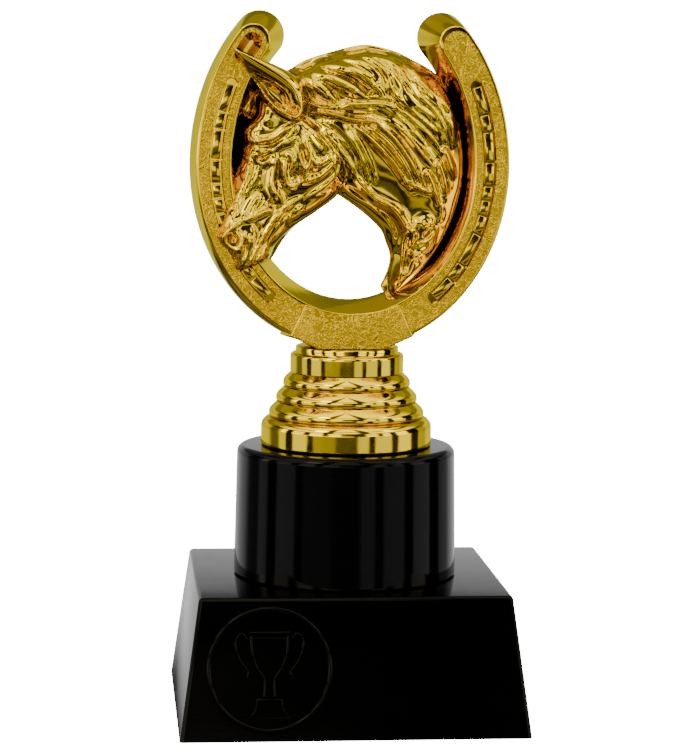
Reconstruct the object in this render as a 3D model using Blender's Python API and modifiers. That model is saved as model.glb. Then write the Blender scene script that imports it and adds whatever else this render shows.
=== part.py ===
"""Horse trophy: a gold horse's head in a horseshoe, on a stepped gold bell, a black riser and a black plinth.

The model is in metres, +Z up, with its origin at the centre of the plinth's underside. The front of the
trophy faces -Y. Every piece is symmetric front to back, except the medallion on the plinth's front.
"""

import math

import bmesh
import bpy
import numpy as np
from mathutils import Matrix, Vector

MM = 0.001

# Plinth
PLINTH_WIDTH = 90.0 * MM
PLINTH_DEPTH = 80.0 * MM
PLINTH_HEIGHT = 36.0 * MM
PLINTH_INSET = 4.9 * MM  # how far each side leans in from bottom to top
PLINTH_EDGE = 1.0 * MM  # rounding of the plinth's edges

# Medallion on the plinth's front face: a ring with a cup inside it
MEDAL_RADIUS = 15.4 * MM  # to the middle of the ring's bead
MEDAL_BEAD = 0.8 * MM
MEDAL_OFFSET = 22.3 * MM  # from the middle of the front face to the ring's centre
MEDAL_LINE = 0.4 * MM  # half-width of the cup's raised lines
MEDAL_SINK = 0.1 * MM  # how deep the middles of the raised lines lie under the face

# Riser
RISER_BOTTOM_RADIUS = 29.4 * MM
RISER_TOP_RADIUS = 28.7 * MM
RISER_HEIGHT = 32.4 * MM
RISER_EDGE = 2.0 * MM
RISER_SIDES = 48

# Bell: a rim, rings that step inwards, a collar and a disc
BELL_RIM_RADIUS = 22.1 * MM
BELL_RIM_HEIGHT = 4.3 * MM
BELL_RIM_SHOULDER = 2.4 * MM
BELL_RING_COUNT = 3
BELL_RING_PITCH = 4.5 * MM
BELL_RING_STEP = 1.67 * MM  # how much each ring's radius is less than the one below
BELL_RING_ROUND = 2.0 * MM  # height of a ring's rounded top
BELL_COLLAR_RADIUS = 14.8 * MM
BELL_COLLAR_HEIGHT = 5.1 * MM
BELL_COLLAR_EDGE = 0.8 * MM
BELL_DISC_RADIUS = 13.6 * MM
BELL_DISC_HEIGHT = 2.4 * MM
BELL_SIDES = 36

# Pieces that stand on each other keep this gap
SEAT_GAP = 0.3 * MM

# Horseshoe: its front face is a band along an oval, and its walls slope out to a wider middle plane
SHOE_WIDTH = 81.2 * MM  # outer width of the front face
SHOE_BAND = 9.1 * MM  # width of the front face's band
SHOE_HALF_DEPTH = 12.5 * MM  # front face to middle plane
SHOE_SLOPE_IN = 2.9 * MM  # how far the inner wall comes in at the middle plane
SHOE_SLOPE_OUT = 1.3 * MM
SHOE_DROP_SHARE = 1.185  # depth of the oval's lower half, as a share of its half-width
SHOE_RISE_SHARE = 1.282  # height of the oval's upper half
HORN_ANGLE = 43.7  # where the arms end, in degrees of the oval above its middle
HORN_REACH = 3.6  # how many degrees further the middle plane reaches
HORN_TAPER = 0.04  # share of the band's width lost at the horns
SHOE_STEPS = 44  # points along one edge of the band
HORN_STEPS = 8

# Groove in each arm of the shoe, with a row of nail heads standing in it
GROOVE_WIDTH = 3.3 * MM
GROOVE_DEPTH = 1.5 * MM
GROOVE_OFFSET = -0.55 * MM  # from the middle of the band, towards the opening
GROOVE_TOP = 27.0  # angles of the groove's ends on the oval, in degrees
GROOVE_BOTTOM = -53.0
GROOVE_STEPS = 18
NAIL_WIDTH = 1.9 * MM
NAIL_HEIGHT = 0.9 * MM
NAIL_GAP = 0.6 * MM
NAIL_SHARES = (28, 17, 29, 23, 14, 15, 19, 33, 18, 24)  # relative lengths, from the top down

# Block at the foot of the shoe, which stands on the bell
BLOCK_PROUD = 0.4 * MM  # how far it stands out of the shoe's front face
BLOCK_TOP_HALF = 12.2 * MM
BLOCK_SIDE_HALF = 16.0 * MM
BLOCK_FOOT_HALF = 8.7 * MM
BLOCK_SIDE_RISE = 3.3 * MM  # height of the side corners over the flat foot
BLOCK_SLOPE = 2.0 * MM  # how far its sides come out at the middle plane
BLOCK_HEIGHT = 11.6 * MM
BLOCK_SAG = 0.21  # how far its upper face dips in the middle, as a share of its height
BLOCK_TRIM = 1.0 * MM  # how far the block reaches below its flat foot before everything is cut level

# Horse. Its carving is drawn in units of 1/31.5 of half the shoe's opening, which are about a millimetre
CARVE_SPAN = 31.5
CARVE_DEPTH_SPAN = 12.5  # the same for heights, in shares of the shoe's half depth
CARVE_STEP = 0.8  # spacing of the carving's sample grid
CARVE_REACH = 18.0  # the grid's half depth
HORSE_TRIANGLES = 4300

GOLD = (0.83, 0.62, 0.12, 1.0)
BLACK = (0.008, 0.008, 0.009, 1.0)

RISER_BASE = PLINTH_HEIGHT + SEAT_GAP
BELL_BASE = RISER_BASE + RISER_HEIGHT + SEAT_GAP
BELL_HEIGHT = (
    BELL_RIM_HEIGHT
    + BELL_RIM_SHOULDER
    + BELL_RING_COUNT * BELL_RING_PITCH
    + BELL_COLLAR_HEIGHT
    + BELL_DISC_HEIGHT
)
BLOCK_BASE = BELL_BASE + BELL_HEIGHT + SEAT_GAP
OVAL_HALF = SHOE_WIDTH / 2 - SHOE_BAND / 2  # of the band's middle line
OVAL_DROP = OVAL_HALF * SHOE_DROP_SHARE
OVAL_RISE = OVAL_HALF * SHOE_RISE_SHARE
OVAL_CENTRE = BLOCK_BASE + OVAL_DROP + SHOE_BAND / 2
CARVE_UNIT = (SHOE_WIDTH / 2 - SHOE_BAND) / CARVE_SPAN
CARVE_DEPTH_UNIT = SHOE_HALF_DEPTH / CARVE_DEPTH_SPAN


def clear_scene():
    for obj in list(bpy.data.objects):
        bpy.data.objects.remove(obj)


def make_collection(name):
    collection = bpy.data.collections.new(name)
    bpy.context.scene.collection.children.link(collection)
    return collection


def make_material(name, colour, roughness, metallic):
    material = bpy.data.materials.new(name)
    material.use_nodes = True
    shader = material.node_tree.nodes["Principled BSDF"]
    shader.inputs["Base Color"].default_value = colour
    shader.inputs["Roughness"].default_value = roughness
    shader.inputs["Metallic"].default_value = metallic
    return material


def add_object(name, data, collection, material=None):
    obj = bpy.data.objects.new(name, data)
    collection.objects.link(obj)
    if material:
        data.materials.append(material)
    return obj


def helper(obj):
    """Marks an object as a cutter or guide that isn't part of the trophy."""
    obj.hide_render = True
    obj.display_type = "WIRE"
    return obj


def shade(mesh, angle):
    mesh.shade_smooth()
    mesh.set_sharp_from_angle(angle=math.radians(angle))


def boolean(obj, other, operation):
    modifier = obj.modifiers.new(operation.lower() + " " + other.name, "BOOLEAN")
    modifier.operation = operation
    modifier.object = other
    modifier.solver = "EXACT"


def evaluated_mesh(obj):
    bpy.context.view_layer.update()
    graph = bpy.context.evaluated_depsgraph_get()
    return bpy.data.meshes.new_from_object(obj.evaluated_get(graph))


# Turned pieces


def turned(name, profile, sides, collection, material):
    """A solid of revolution. The profile runs down the outer side and starts and ends on the axis."""
    mesh = bpy.data.meshes.new(name)
    points = [(radius, 0.0, height) for radius, height in profile]
    mesh.from_pydata(points, [(i, i + 1) for i in range(len(points) - 1)], [])
    obj = add_object(name, mesh, collection, material)
    screw = obj.modifiers.new("turn", "SCREW")
    screw.steps = sides
    screw.render_steps = sides
    screw.use_merge_vertices = True
    screw.merge_threshold = 0.00001
    screw.use_smooth_shade = True
    return obj


def quarter_round(inner, outer, top, bottom, steps):
    """Points of a quarter ellipse that goes out from (inner, top) and down to (outer, bottom)."""
    points = []
    for i in range(steps + 1):
        angle = math.pi / 2 * i / steps
        radius = inner + (outer - inner) * math.sin(angle)
        height = bottom + (top - bottom) * math.cos(angle)
        points.append((radius, height))
    return points


def bell_profile():
    disc_edge = BELL_DISC_HEIGHT * 0.25
    collar_top = BELL_HEIGHT - BELL_DISC_HEIGHT
    points = [(0.0, BELL_HEIGHT)]
    points += quarter_round(
        BELL_DISC_RADIUS - disc_edge, BELL_DISC_RADIUS, BELL_HEIGHT, BELL_HEIGHT - disc_edge, 2
    )
    points.append((BELL_DISC_RADIUS, collar_top))
    points += quarter_round(
        BELL_COLLAR_RADIUS - BELL_COLLAR_EDGE,
        BELL_COLLAR_RADIUS,
        collar_top - 0.01 * MM,
        collar_top - BELL_COLLAR_EDGE,
        2,
    )
    level = collar_top - BELL_COLLAR_HEIGHT
    inner = BELL_COLLAR_RADIUS
    points.append((inner, level))
    for ring in range(BELL_RING_COUNT):
        outer = BELL_COLLAR_RADIUS + (ring + 1) * BELL_RING_STEP
        points += quarter_round(inner, outer, level, level - BELL_RING_ROUND, 3)[1:]
        level -= BELL_RING_PITCH
        inner = outer
        points.append((inner, level))
    points += quarter_round(inner, BELL_RIM_RADIUS, level, level - BELL_RIM_SHOULDER, 3)[1:]
    points += [(BELL_RIM_RADIUS, 0.0), (0.0, 0.0)]
    return points


def make_bell(collection, material):
    bell = turned("stepped_bell", bell_profile(), BELL_SIDES, collection, material)
    bell.location.z = BELL_BASE
    return bell


def make_riser(collection, material):
    profile = [(0.0, RISER_HEIGHT)]
    profile += quarter_round(
        RISER_TOP_RADIUS - RISER_EDGE, RISER_TOP_RADIUS, RISER_HEIGHT, RISER_HEIGHT - RISER_EDGE, 3
    )
    profile += [(RISER_BOTTOM_RADIUS, 0.0), (0.0, 0.0)]
    riser = turned("round_riser", profile, RISER_SIDES, collection, material)
    riser.location.z = RISER_BASE
    return riser


# Plinth and its medallion


def make_plinth(collection, cutters, material):
    mesh = bpy.data.meshes.new("plinth")
    form = bmesh.new()
    bmesh.ops.create_cube(form, size=1.0)
    for vert in form.verts:
        top = vert.co.z > 0
        inset = PLINTH_INSET if top else 0.0
        vert.co.x = math.copysign(PLINTH_WIDTH / 2 - inset, vert.co.x)
        vert.co.y = math.copysign(PLINTH_DEPTH / 2 - inset, vert.co.y)
        vert.co.z = PLINTH_HEIGHT if top else 0.0
    rounded = form.edges.layers.float.new("bevel_weight_edge")
    for edge in form.edges:
        edge[rounded] = 1.0 if any(vert.co.z > 0 for vert in edge.verts) else 0.0
    form.to_mesh(mesh)
    form.free()
    shade(mesh, 30)
    plinth = add_object("plinth", mesh, collection, material)
    bevel = plinth.modifiers.new("edges", "BEVEL")
    bevel.limit_method = "WEIGHT"
    bevel.width = PLINTH_EDGE
    bevel.segments = 3
    for line in medal_lines(cutters):
        boolean(plinth, line, "UNION")
    return plinth


def face_matrix():
    """Places the medallion: x runs along the plinth's front face, y up its slope and z out of it."""
    lean = math.atan2(PLINTH_INSET, PLINTH_HEIGHT)
    middle = Vector((-MEDAL_OFFSET, -PLINTH_DEPTH / 2 + PLINTH_INSET / 2, PLINTH_HEIGHT / 2))
    return Matrix.Translation(middle) @ Matrix.Rotation(math.pi / 2 - lean, 4, "X")


def raised_line(name, points, cutters, closed=False):
    """A round line along points on the medallion's face, made a mesh so that a Boolean can join it."""
    curve = bpy.data.curves.new(name, "CURVE")
    curve.dimensions = "3D"
    curve.bevel_depth = MEDAL_LINE
    curve.bevel_resolution = 1
    curve.use_fill_caps = True
    spline = curve.splines.new("POLY")
    spline.points.add(len(points) - 1)
    spline.use_cyclic_u = closed
    for point, (x, y) in zip(spline.points, points):
        point.co = (x, y, -MEDAL_SINK, 1.0)
    guide = add_object(name + "_guide", curve, cutters)
    guide.matrix_world = face_matrix()
    mesh = evaluated_mesh(guide)
    form = bmesh.new()
    form.from_mesh(mesh)
    bmesh.ops.remove_doubles(form, verts=form.verts, dist=0.00001)
    form.to_mesh(mesh)
    form.free()
    line = helper(add_object(name, mesh, cutters))
    line.matrix_world = guide.matrix_world
    bpy.data.objects.remove(guide)
    return line


def smooth_through(points, steps, closed=False):
    """Catmull-Rom curve through the points, with this many steps between each two."""
    points = [np.array(p, float) for p in points]
    count = len(points)
    spans = count if closed else count - 1
    made = []
    for i in range(spans):
        if closed:
            a, b, c, d = (points[(i + k) % count] for k in (-1, 0, 1, 2))
        else:
            a, b, c, d = (points[min(max(i + k, 0), count - 1)] for k in (-1, 0, 1, 2))
        for k in range(steps):
            t = k / steps
            made.append(
                0.5
                * (
                    2 * b
                    + (c - a) * t
                    + (2 * a - 5 * b + 4 * c - d) * t * t
                    + (3 * b - a - 3 * c + d) * t**3
                )
            )
    if not closed:
        made.append(points[-1])
    return np.array(made)


def medal_lines(cutters):
    """The ring and the outline of a plain two-handled cup, drawn in shares of the ring's radius."""
    bead = bpy.data.meshes.new("medal_ring")
    form = bmesh.new()
    count, sides = 36, 6
    rings = []
    for i in range(count):
        around = 2 * math.pi * i / count
        ring = []
        for k in range(sides):
            turn = 2 * math.pi * k / sides
            radius = MEDAL_RADIUS + MEDAL_BEAD * math.cos(turn)
            height = MEDAL_BEAD * math.sin(turn) - MEDAL_SINK
            ring.append(form.verts.new((radius * math.cos(around), radius * math.sin(around), height)))
        rings.append(ring)
    for i in range(count):
        a, b = rings[i], rings[(i + 1) % count]
        for k in range(sides):
            n = (k + 1) % sides
            form.faces.new((a[k], b[k], b[n], a[n]))
    form.to_mesh(bead)
    form.free()
    ring = helper(add_object("medal_ring", bead, cutters))
    ring.matrix_world = face_matrix()
    lines = [ring]
    rim = [(-0.34, 0.61), (0.34, 0.61)]
    bowl = [(-0.30, 0.56), (-0.29, 0.30), (-0.21, 0.04), (-0.09, -0.15), (-0.085, -0.43)]
    handle = [(-0.38, 0.52), (-0.46, 0.60), (-0.55, 0.50), (-0.55, 0.34), (-0.48, 0.15), (-0.36, -0.02),
              (-0.37, -0.13)]
    foot = [(-0.35, -0.79), (-0.22, -0.66), (-0.20, -0.49), (0.20, -0.49), (0.22, -0.66), (0.35, -0.79)]
    shapes = {"rim": (rim, 1), "bowl": (bowl, 2), "handle": (handle, 2), "foot": (foot, 1)}
    for name, (points, steps) in shapes.items():
        path = smooth_through(points, steps) * MEDAL_RADIUS
        if name == "foot":
            lines.append(raised_line("cup_foot", path, cutters, closed=True))
            continue
        lines.append(raised_line(f"cup_{name}", path, cutters))
        if name != "rim":
            lines.append(raised_line(f"cup_{name}_mirrored", path * (-1, 1), cutters))
    return lines


# Horseshoe


def oval_point(angle):
    """Point of the band's middle line and its outward normal, at an angle in degrees from +X."""
    turn = math.radians(angle)
    height = OVAL_RISE if math.sin(turn) > 0 else OVAL_DROP
    point = Vector((OVAL_HALF * math.cos(turn), height * math.sin(turn)))
    normal = Vector((height * math.cos(turn), OVAL_HALF * math.sin(turn))).normalized()
    return point, normal


def half_band(angle):
    """Half the front face's width, which narrows towards the horns."""
    rise = min(max((angle if angle < 90 else 180 - angle) / HORN_ANGLE, 0.0), 1.0)
    return SHOE_BAND / 2 * (1 - HORN_TAPER * rise * rise)


def band_outline(first, last, inner, outer, steps, end_steps):
    """Closed outline of a band along the oval: outer edge, round end, inner edge, round end."""
    points = []
    for k in range(steps + 1):
        point, normal = oval_point(first + (last - first) * k / steps)
        points.append(point + normal * outer(first + (last - first) * k / steps))
    for angle, backwards in ((last, False), (first, True)):
        point, normal = oval_point(angle)
        reach = (outer(angle) + inner(angle)) / 2
        middle = point + normal * (outer(angle) - inner(angle)) / 2
        along = Vector((-normal.y, normal.x)) * (-1 if backwards else 1)
        across = -normal if backwards else normal
        for k in range(1, end_steps):
            turn = math.pi * k / end_steps
            points.append(middle + across * reach * math.cos(turn) + along * reach * math.sin(turn))
        if backwards:
            break
        for k in range(steps, -1, -1):
            here = first + (last - first) * k / steps
            point, normal = oval_point(here)
            points.append(point - normal * inner(here))
    return points


def flat_cap(form, ring, band_steps):
    """Closes an outline: a band in short pieces with a fan at each round end, or any other outline in one."""
    if not band_steps:
        form.faces.new(ring)
        return
    count = len(ring)
    ends = (count - 2 * (band_steps + 1)) // 2
    inner = [ring[band_steps + 1 + ends + band_steps - k] for k in range(band_steps + 1)]
    for k in range(band_steps):
        form.faces.new((ring[k], ring[k + 1], inner[k + 1], inner[k]))
    form.faces.new(ring[band_steps : band_steps + ends + 2])
    form.faces.new(ring[count - ends - 1 :] + [ring[0]])


def stacked(name, levels, collection, band_steps=0):
    """A solid through outlines with equal counts of points, each at its own Y, from front to back."""
    mesh = bpy.data.meshes.new(name)
    form = bmesh.new()
    rings = []
    for y, outline in levels:
        rings.append([form.verts.new((p[0], y, p[1])) for p in outline])
    for a, b in zip(rings, rings[1:]):
        for k in range(len(a)):
            n = (k + 1) % len(a)
            form.faces.new((a[k], a[n], b[n], b[k]))
    flat_cap(form, rings[0], band_steps)
    flat_cap(form, rings[-1], band_steps)
    form.normal_update()
    bmesh.ops.triangulate(form, faces=[f for f in form.faces if len(f.verts) > 4])
    bmesh.ops.recalc_face_normals(form, faces=form.faces)
    form.to_mesh(mesh)
    form.free()
    shade(mesh, 30)
    return add_object(name, mesh, collection)


def make_shoe(cutters):
    low, high = -180 - HORN_ANGLE, HORN_ANGLE

    def outline(reach, slope_in, slope_out):
        return band_outline(
            low - reach,
            high + reach,
            lambda a: half_band(fold(a)) + slope_in,
            lambda a: half_band(fold(a)) + slope_out,
            SHOE_STEPS,
            HORN_STEPS,
        )

    face = outline(0.0, 0.0, 0.0)
    middle = outline(HORN_REACH, SHOE_SLOPE_IN, SHOE_SLOPE_OUT)
    levels = [(-SHOE_HALF_DEPTH, face), (0.0, middle), (SHOE_HALF_DEPTH, face)]
    shoe = helper(stacked("shoe", levels, cutters, SHOE_STEPS))
    shoe.location.z = OVAL_CENTRE
    return shoe


def fold(angle):
    """The same height on the right arm, for an angle on either arm."""
    return angle if angle > -90 else -180 - angle


def groove_outline(low, high, half_width):
    return band_outline(
        low,
        high,
        lambda a: half_width - GROOVE_OFFSET,
        lambda a: half_width + GROOVE_OFFSET,
        GROOVE_STEPS,
        6,
    )


def make_grooves(cutters):
    """Four cutters: the groove in each arm, on the front and on the back."""
    made = []
    for side, (low, high) in {
        "right": (GROOVE_BOTTOM, GROOVE_TOP),
        "left": (-180 - GROOVE_TOP, -180 - GROOVE_BOTTOM),
    }.items():
        outline = groove_outline(low, high, GROOVE_WIDTH / 2)
        for face, sign in (("front", -1), ("back", 1)):
            levels = [
                (sign * (SHOE_HALF_DEPTH - GROOVE_DEPTH), outline),
                (sign * (SHOE_HALF_DEPTH + GROOVE_DEPTH), outline),
            ]
            groove = helper(stacked(f"groove_{side}_{face}", levels, cutters, GROOVE_STEPS))
            groove.location.z = OVAL_CENTRE
            made.append(groove)
    return made


def oval_angle_at(share):
    """Angle at a share of the groove's length, measured from its top."""
    samples = np.linspace(GROOVE_TOP, GROOVE_BOTTOM, 200)
    points = np.array([oval_point(a)[0] for a in samples])
    run = np.concatenate([[0.0], np.cumsum(np.linalg.norm(np.diff(points, axis=0), axis=1))])
    return float(np.interp(share * run[-1], run, samples)), run[-1]


def make_nails(cutters):
    """One mesh of separate blocks that stand in the grooves, for a Boolean to join to the shoe."""
    mesh = bpy.data.meshes.new("nail_heads")
    form = bmesh.new()
    total = sum(NAIL_SHARES)
    floor = SHOE_HALF_DEPTH - GROOVE_DEPTH
    start = 0
    for length in NAIL_SHARES:
        angle, run = oval_angle_at((start + length / 2) / total)
        start += length
        point, normal = oval_point(angle)
        place = point + normal * GROOVE_OFFSET
        size = (NAIL_WIDTH, 2 * NAIL_HEIGHT, length / total * run - NAIL_GAP)
        lean = math.atan2(normal.y, normal.x)
        for mirror in (1, -1):
            for side in (-1, 1):
                box = (
                    Matrix.Translation((mirror * place.x, side * floor, place.y))
                    @ Matrix.Rotation(-mirror * lean, 4, "Y")
                    @ Matrix.Diagonal((*size, 1.0))
                )
                bmesh.ops.create_cube(form, size=1.0, matrix=box)
    form.to_mesh(mesh)
    form.free()
    nails = helper(add_object("nail_heads", mesh, cutters))
    nails.location.z = OVAL_CENTRE
    return nails


def make_block(cutters):
    """The keystone at the foot of the shoe, with the flat that stands on the bell."""
    foot = BLOCK_BASE - OVAL_CENTRE
    front = SHOE_HALF_DEPTH + BLOCK_PROUD
    corner_slope = (BLOCK_SIDE_HALF - BLOCK_FOOT_HALF) / BLOCK_SIDE_RISE

    def outline(slope):
        top = foot + BLOCK_HEIGHT
        left = [
            (-BLOCK_FOOT_HALF + corner_slope * BLOCK_TRIM, foot - BLOCK_TRIM),
            (-BLOCK_SIDE_HALF - slope, foot + BLOCK_SIDE_RISE - slope * 0.4),
            (-BLOCK_TOP_HALF - slope * 0.4, top),
        ]
        arch = []
        for k in range(1, 8):
            x = (BLOCK_TOP_HALF + slope * 0.4) * (k / 4 - 1)
            dip = 1 - (k / 4 - 1) ** 2
            arch.append((x, top - dip * BLOCK_HEIGHT * BLOCK_SAG))
        right = [(-x, z) for x, z in reversed(left)]
        return [(x, z + slope * lift) for (x, z), lift in zip(left + arch + right, lifts(len(arch)))]

    def lifts(count):
        return [0, 0, 1.2] + [1.2] * count + [1.2, 0, 0]

    levels = [
        (-front, outline(0.0)),
        (0.0, outline(BLOCK_SLOPE)),
        (front, outline(0.0)),
    ]
    block = helper(stacked("block", levels, cutters))
    block.location.z = OVAL_CENTRE
    return block


def make_trim(cutters):
    """Takes off whatever hangs below the block's flat foot."""
    mesh = bpy.data.meshes.new("level_cut")
    form = bmesh.new()
    width = 3 * (BLOCK_SIDE_HALF + BLOCK_SLOPE)
    depth = 3 * (SHOE_HALF_DEPTH + BLOCK_PROUD)
    height = 3 * (BLOCK_TRIM + SHOE_SLOPE_OUT)
    middle = Matrix.Translation((0.0, 0.0, BLOCK_BASE - height / 2))
    place = middle @ Matrix.Diagonal((width, depth, height, 1.0))
    bmesh.ops.create_cube(form, size=1.0, matrix=place)
    form.to_mesh(mesh)
    form.free()
    return helper(add_object("level_cut", mesh, cutters))


# Horse: half the head's thickness is drawn as a height over the middle plane, like a relief

WEB_LEVEL = 1.5  # half thickness of the flat web that borders the carving
EDGE_ROUND = 0.6

CREST = [(-24, 21), (-19.2, 23.7), (-15.8, 24.8), (-12.4, 26.9), (-9, 28.2), (-4.3, 29.6), (0.6, 30.9),
         (4.8, 31.3), (11.4, 29.8), (16.7, 27.3), (21.5, 24.7), (27, 20)]
RIGHT_SIDE = [(32, 6), (31.5, -8), (27.5, -20), (20, -31), (12, -37.5)]
THROAT = [(8.6, -31.8), (10.4, -27.8), (11.1, -23.9), (9.9, -20.2), (8.4, -16.8), (3.3, -12.1), (-3.1, -7.7)]
CHIN_SIDE = [(-9.1, -12.7), (-14.1, -16.1), (-17.5, -20.1), (-19.9, -24.2), (-23.0, -27.6), (-27, -30)]
LEFT_SIDE = [(-28, -22), (-33, -8), (-33, 6), (-29, 17)]

HEAD = [(-21.5, 19.0), (-24.6, 18.4), (-25.5, 15.8), (-25.9, 13.3), (-28.0, 11.0), (-29.2, 8.3), (-29.4, 3.1),
        (-31.1, -2.1), (-33.2, -5.9), (-35.0, -12.0), (-36.6, -16.2), (-36.9, -19.0), (-35.0, -21.8),
        (-33.6, -24.2), (-32.0, -27.2), (-29.8, -28.5), (-26.8, -28.4), (-23.0, -26.8), (-20.6, -24.0),
        (-18.8, -20.3), (-14.8, -16.4), (-9.6, -12.9), (-4.2, -9.0), (-1.4, -5.6), (-0.6, -1.8),
        (-1.6, 3.0), (-4.2, 7.6), (-9.0, 11.8), (-12.6, 14.6), (-16.0, 17.5)]
HEAD_LEVELS = [(-22, 13, 11.8), (-24.5, 7.5, 12.8), (-18, 9, 12.3), (-24, 3.3, 11.6), (-9, 2.7, 13.4),
               (-2, -3, 10.8),
               (-8, -9, 10.6), (-20, -5, 12.2), (-17, 1, 12.8), (-28.5, -4, 11.4), (-32, -17, 14.6),
               (-29, -21, 15.0), (-27, -26, 13.6), (-21, -22, 12.4), (-21, -14, 13.2), (-14, -14, 10.4),
               (-32, -10, 13.2)]

NECK = [(-17.5, 21.0), (-15.0, 23.0), (-11.9, 25.2), (-8.4, 26.8), (-4.0, 28.2), (0.8, 29.4), (4.8, 29.9),
        (11.2, 28.4), (16.2, 26.0), (21.2, 23.2), (25.6, 18.4), (28.4, 12.0), (29.6, 4), (29.7, -2),
        (29.1, -7), (27.2, -13.6), (24.0, -20.4), (18.8, -28.2), (12.6, -34.4), (10.6, -31.6), (11.3, -27.0),
        (12.0, -23.6), (10.6, -19.6), (8.8, -16.0), (3.7, -11.2), (-2.9, -6.7), (-8, 2), (-15, 12)]
NECK_LEVELS = [(-10, 22, 9.6), (-3, 25, 9.4), (6, 26, 9.0), (14, 23, 8.8), (0, 18, 10.6), (10, 16, 11.2),
               (-4, 13, 10.8), (8, 5, 11.4), (18, 12, 10.4), (17, -2, 11.0), (24, 8, 9.2), (25, -3, 9.2),
               (20, -12, 9.6), (16, -20, 8.6), (14, -28, 6.0), (2, -2, 8.2), (8, -6, 9.2), (22, -20, 7.2),
               (12, -13, 9.6)]

EAR = [(-32.1, 30.7), (-29.0, 29.2), (-24.8, 26.7), (-20.2, 24.2), (-16.0, 22.2), (-13.3, 19.2),
       (-12.0, 16.0), (-12.4, 13.2), (-15.0, 11.7), (-19.4, 13.4), (-22.8, 16.7), (-25.6, 20.4),
       (-28.6, 24.6), (-30.8, 28.0)]

# Each family of locks fills the space between two guides. Behind the guides stand: how many locks, their half
# width, their lift over the neck, and how many layers overlap
MANE = {
    "middle": ([(-3.6, 17.7), (1.5, 17.0), (8.0, 17.2), (12.4, 14.6), (17.6, 11.0), (22.0, 6.8), (25.0, 1.6)],
               [(-11.3, 14.8), (-4.9, 14.2), (1.6, 13.6), (8.1, 11.6), (12.8, 8.2), (16.6, 3.6), (20.0, -0.8),
                (23.0, -4.6)], 6, 1.15, 1.6, 2),
    "crest": ([(10.7, 29.2), (14.1, 27.2), (17.2, 23.4), (21.4, 19.3), (25.2, 14.7), (26.6, 9.6),
               (27.0, 4.8)],
              [(-3.6, 28.2), (3.1, 27.2), (7.8, 23.9), (9.6, 19.5), (12.0, 15.6), (16.2, 12.4), (20.8, 8.9),
               (24.6, 3.8)], 8, 1.3, 2.3, 3),
    "right": ([(13.6, 28.2), (18.2, 25.2), (22.6, 21.0), (25.8, 16.0), (27.2, 10.6)],
              [(10.7, 28.8), (15.6, 25.0), (19.6, 20.2), (23.8, 14.6), (26.0, 8.6)], 3, 1.0, 2.0, 2),
    "fan": ([(-0.4, 12.2), (6.2, 11.2), (11.3, 7.9), (14.9, 3.0), (17.0, -1.6), (18.6, -5.9)],
            [(-1.2, 12.0), (1.4, 8.0), (5.4, 4.0), (9.6, -0.4), (12.4, -4.4), (15.4, -8.2)], 3, 1.1, 2.6, 1),
    "sweep": ([(-8.0, 13.4), (-2.0, 11.6), (1.4, 7.6), (4.2, 2.6), (6.0, -2.2), (6.7, -6.6)],
              [(-11.2, 11.2), (-8.0, 8.6), (-4.8, 5.2), (-2.2, 1.6), (-0.4, -1.6), (1.0, -4.4)],
              5, 0.85, 2.3, 1),
}
# Single big locks: path, half width and lift
CURLS = [
    ([(-6.6, 28.4), (-0.6, 27.6), (4.0, 25.2), (7.2, 21.6), (9.2, 17.6)], 1.7, 2.6),
    ([(-10.2, 26.4), (-3.8, 25.6), (2.0, 23.2), (6.0, 20.0), (8.4, 17.2)], 2.1, 2.9),
    ([(-12.8, 24.4), (-7.6, 22.9), (-2.8, 20.9), (1.0, 18.9), (4.0, 17.0)], 2.0, 3.1),
    ([(-15.6, 22.9), (-12.8, 22.5), (-9.6, 20.3), (-6.5, 17.8), (-3.8, 16.2)], 2.3, 3.5),
    ([(-14.0, 18.2), (-10.8, 15.8), (-6.8, 15.0), (-3.0, 16.2)], 0.6, 2.2),
    ([(-11.6, 14.2), (-6.2, 13.4), (-0.4, 12.0), (6.6, 11.2), (11.6, 8.0)], 0.7, 2.9),
    ([(23.6, 4.8), (25.0, 1.4), (26.6, -3.4)], 1.1, 2.4),
    ([(22.0, 1.6), (23.6, -2.4), (24.6, -8.0)], 0.9, 2.0),
    ([(19.0, -1.0), (20.8, -4.6), (22.6, -10.6)], 0.9, 1.8),
    ([(12.6, -3.4), (16.6, -5.2), (21.6, -7.4)], 0.8, 1.6),
]
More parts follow.
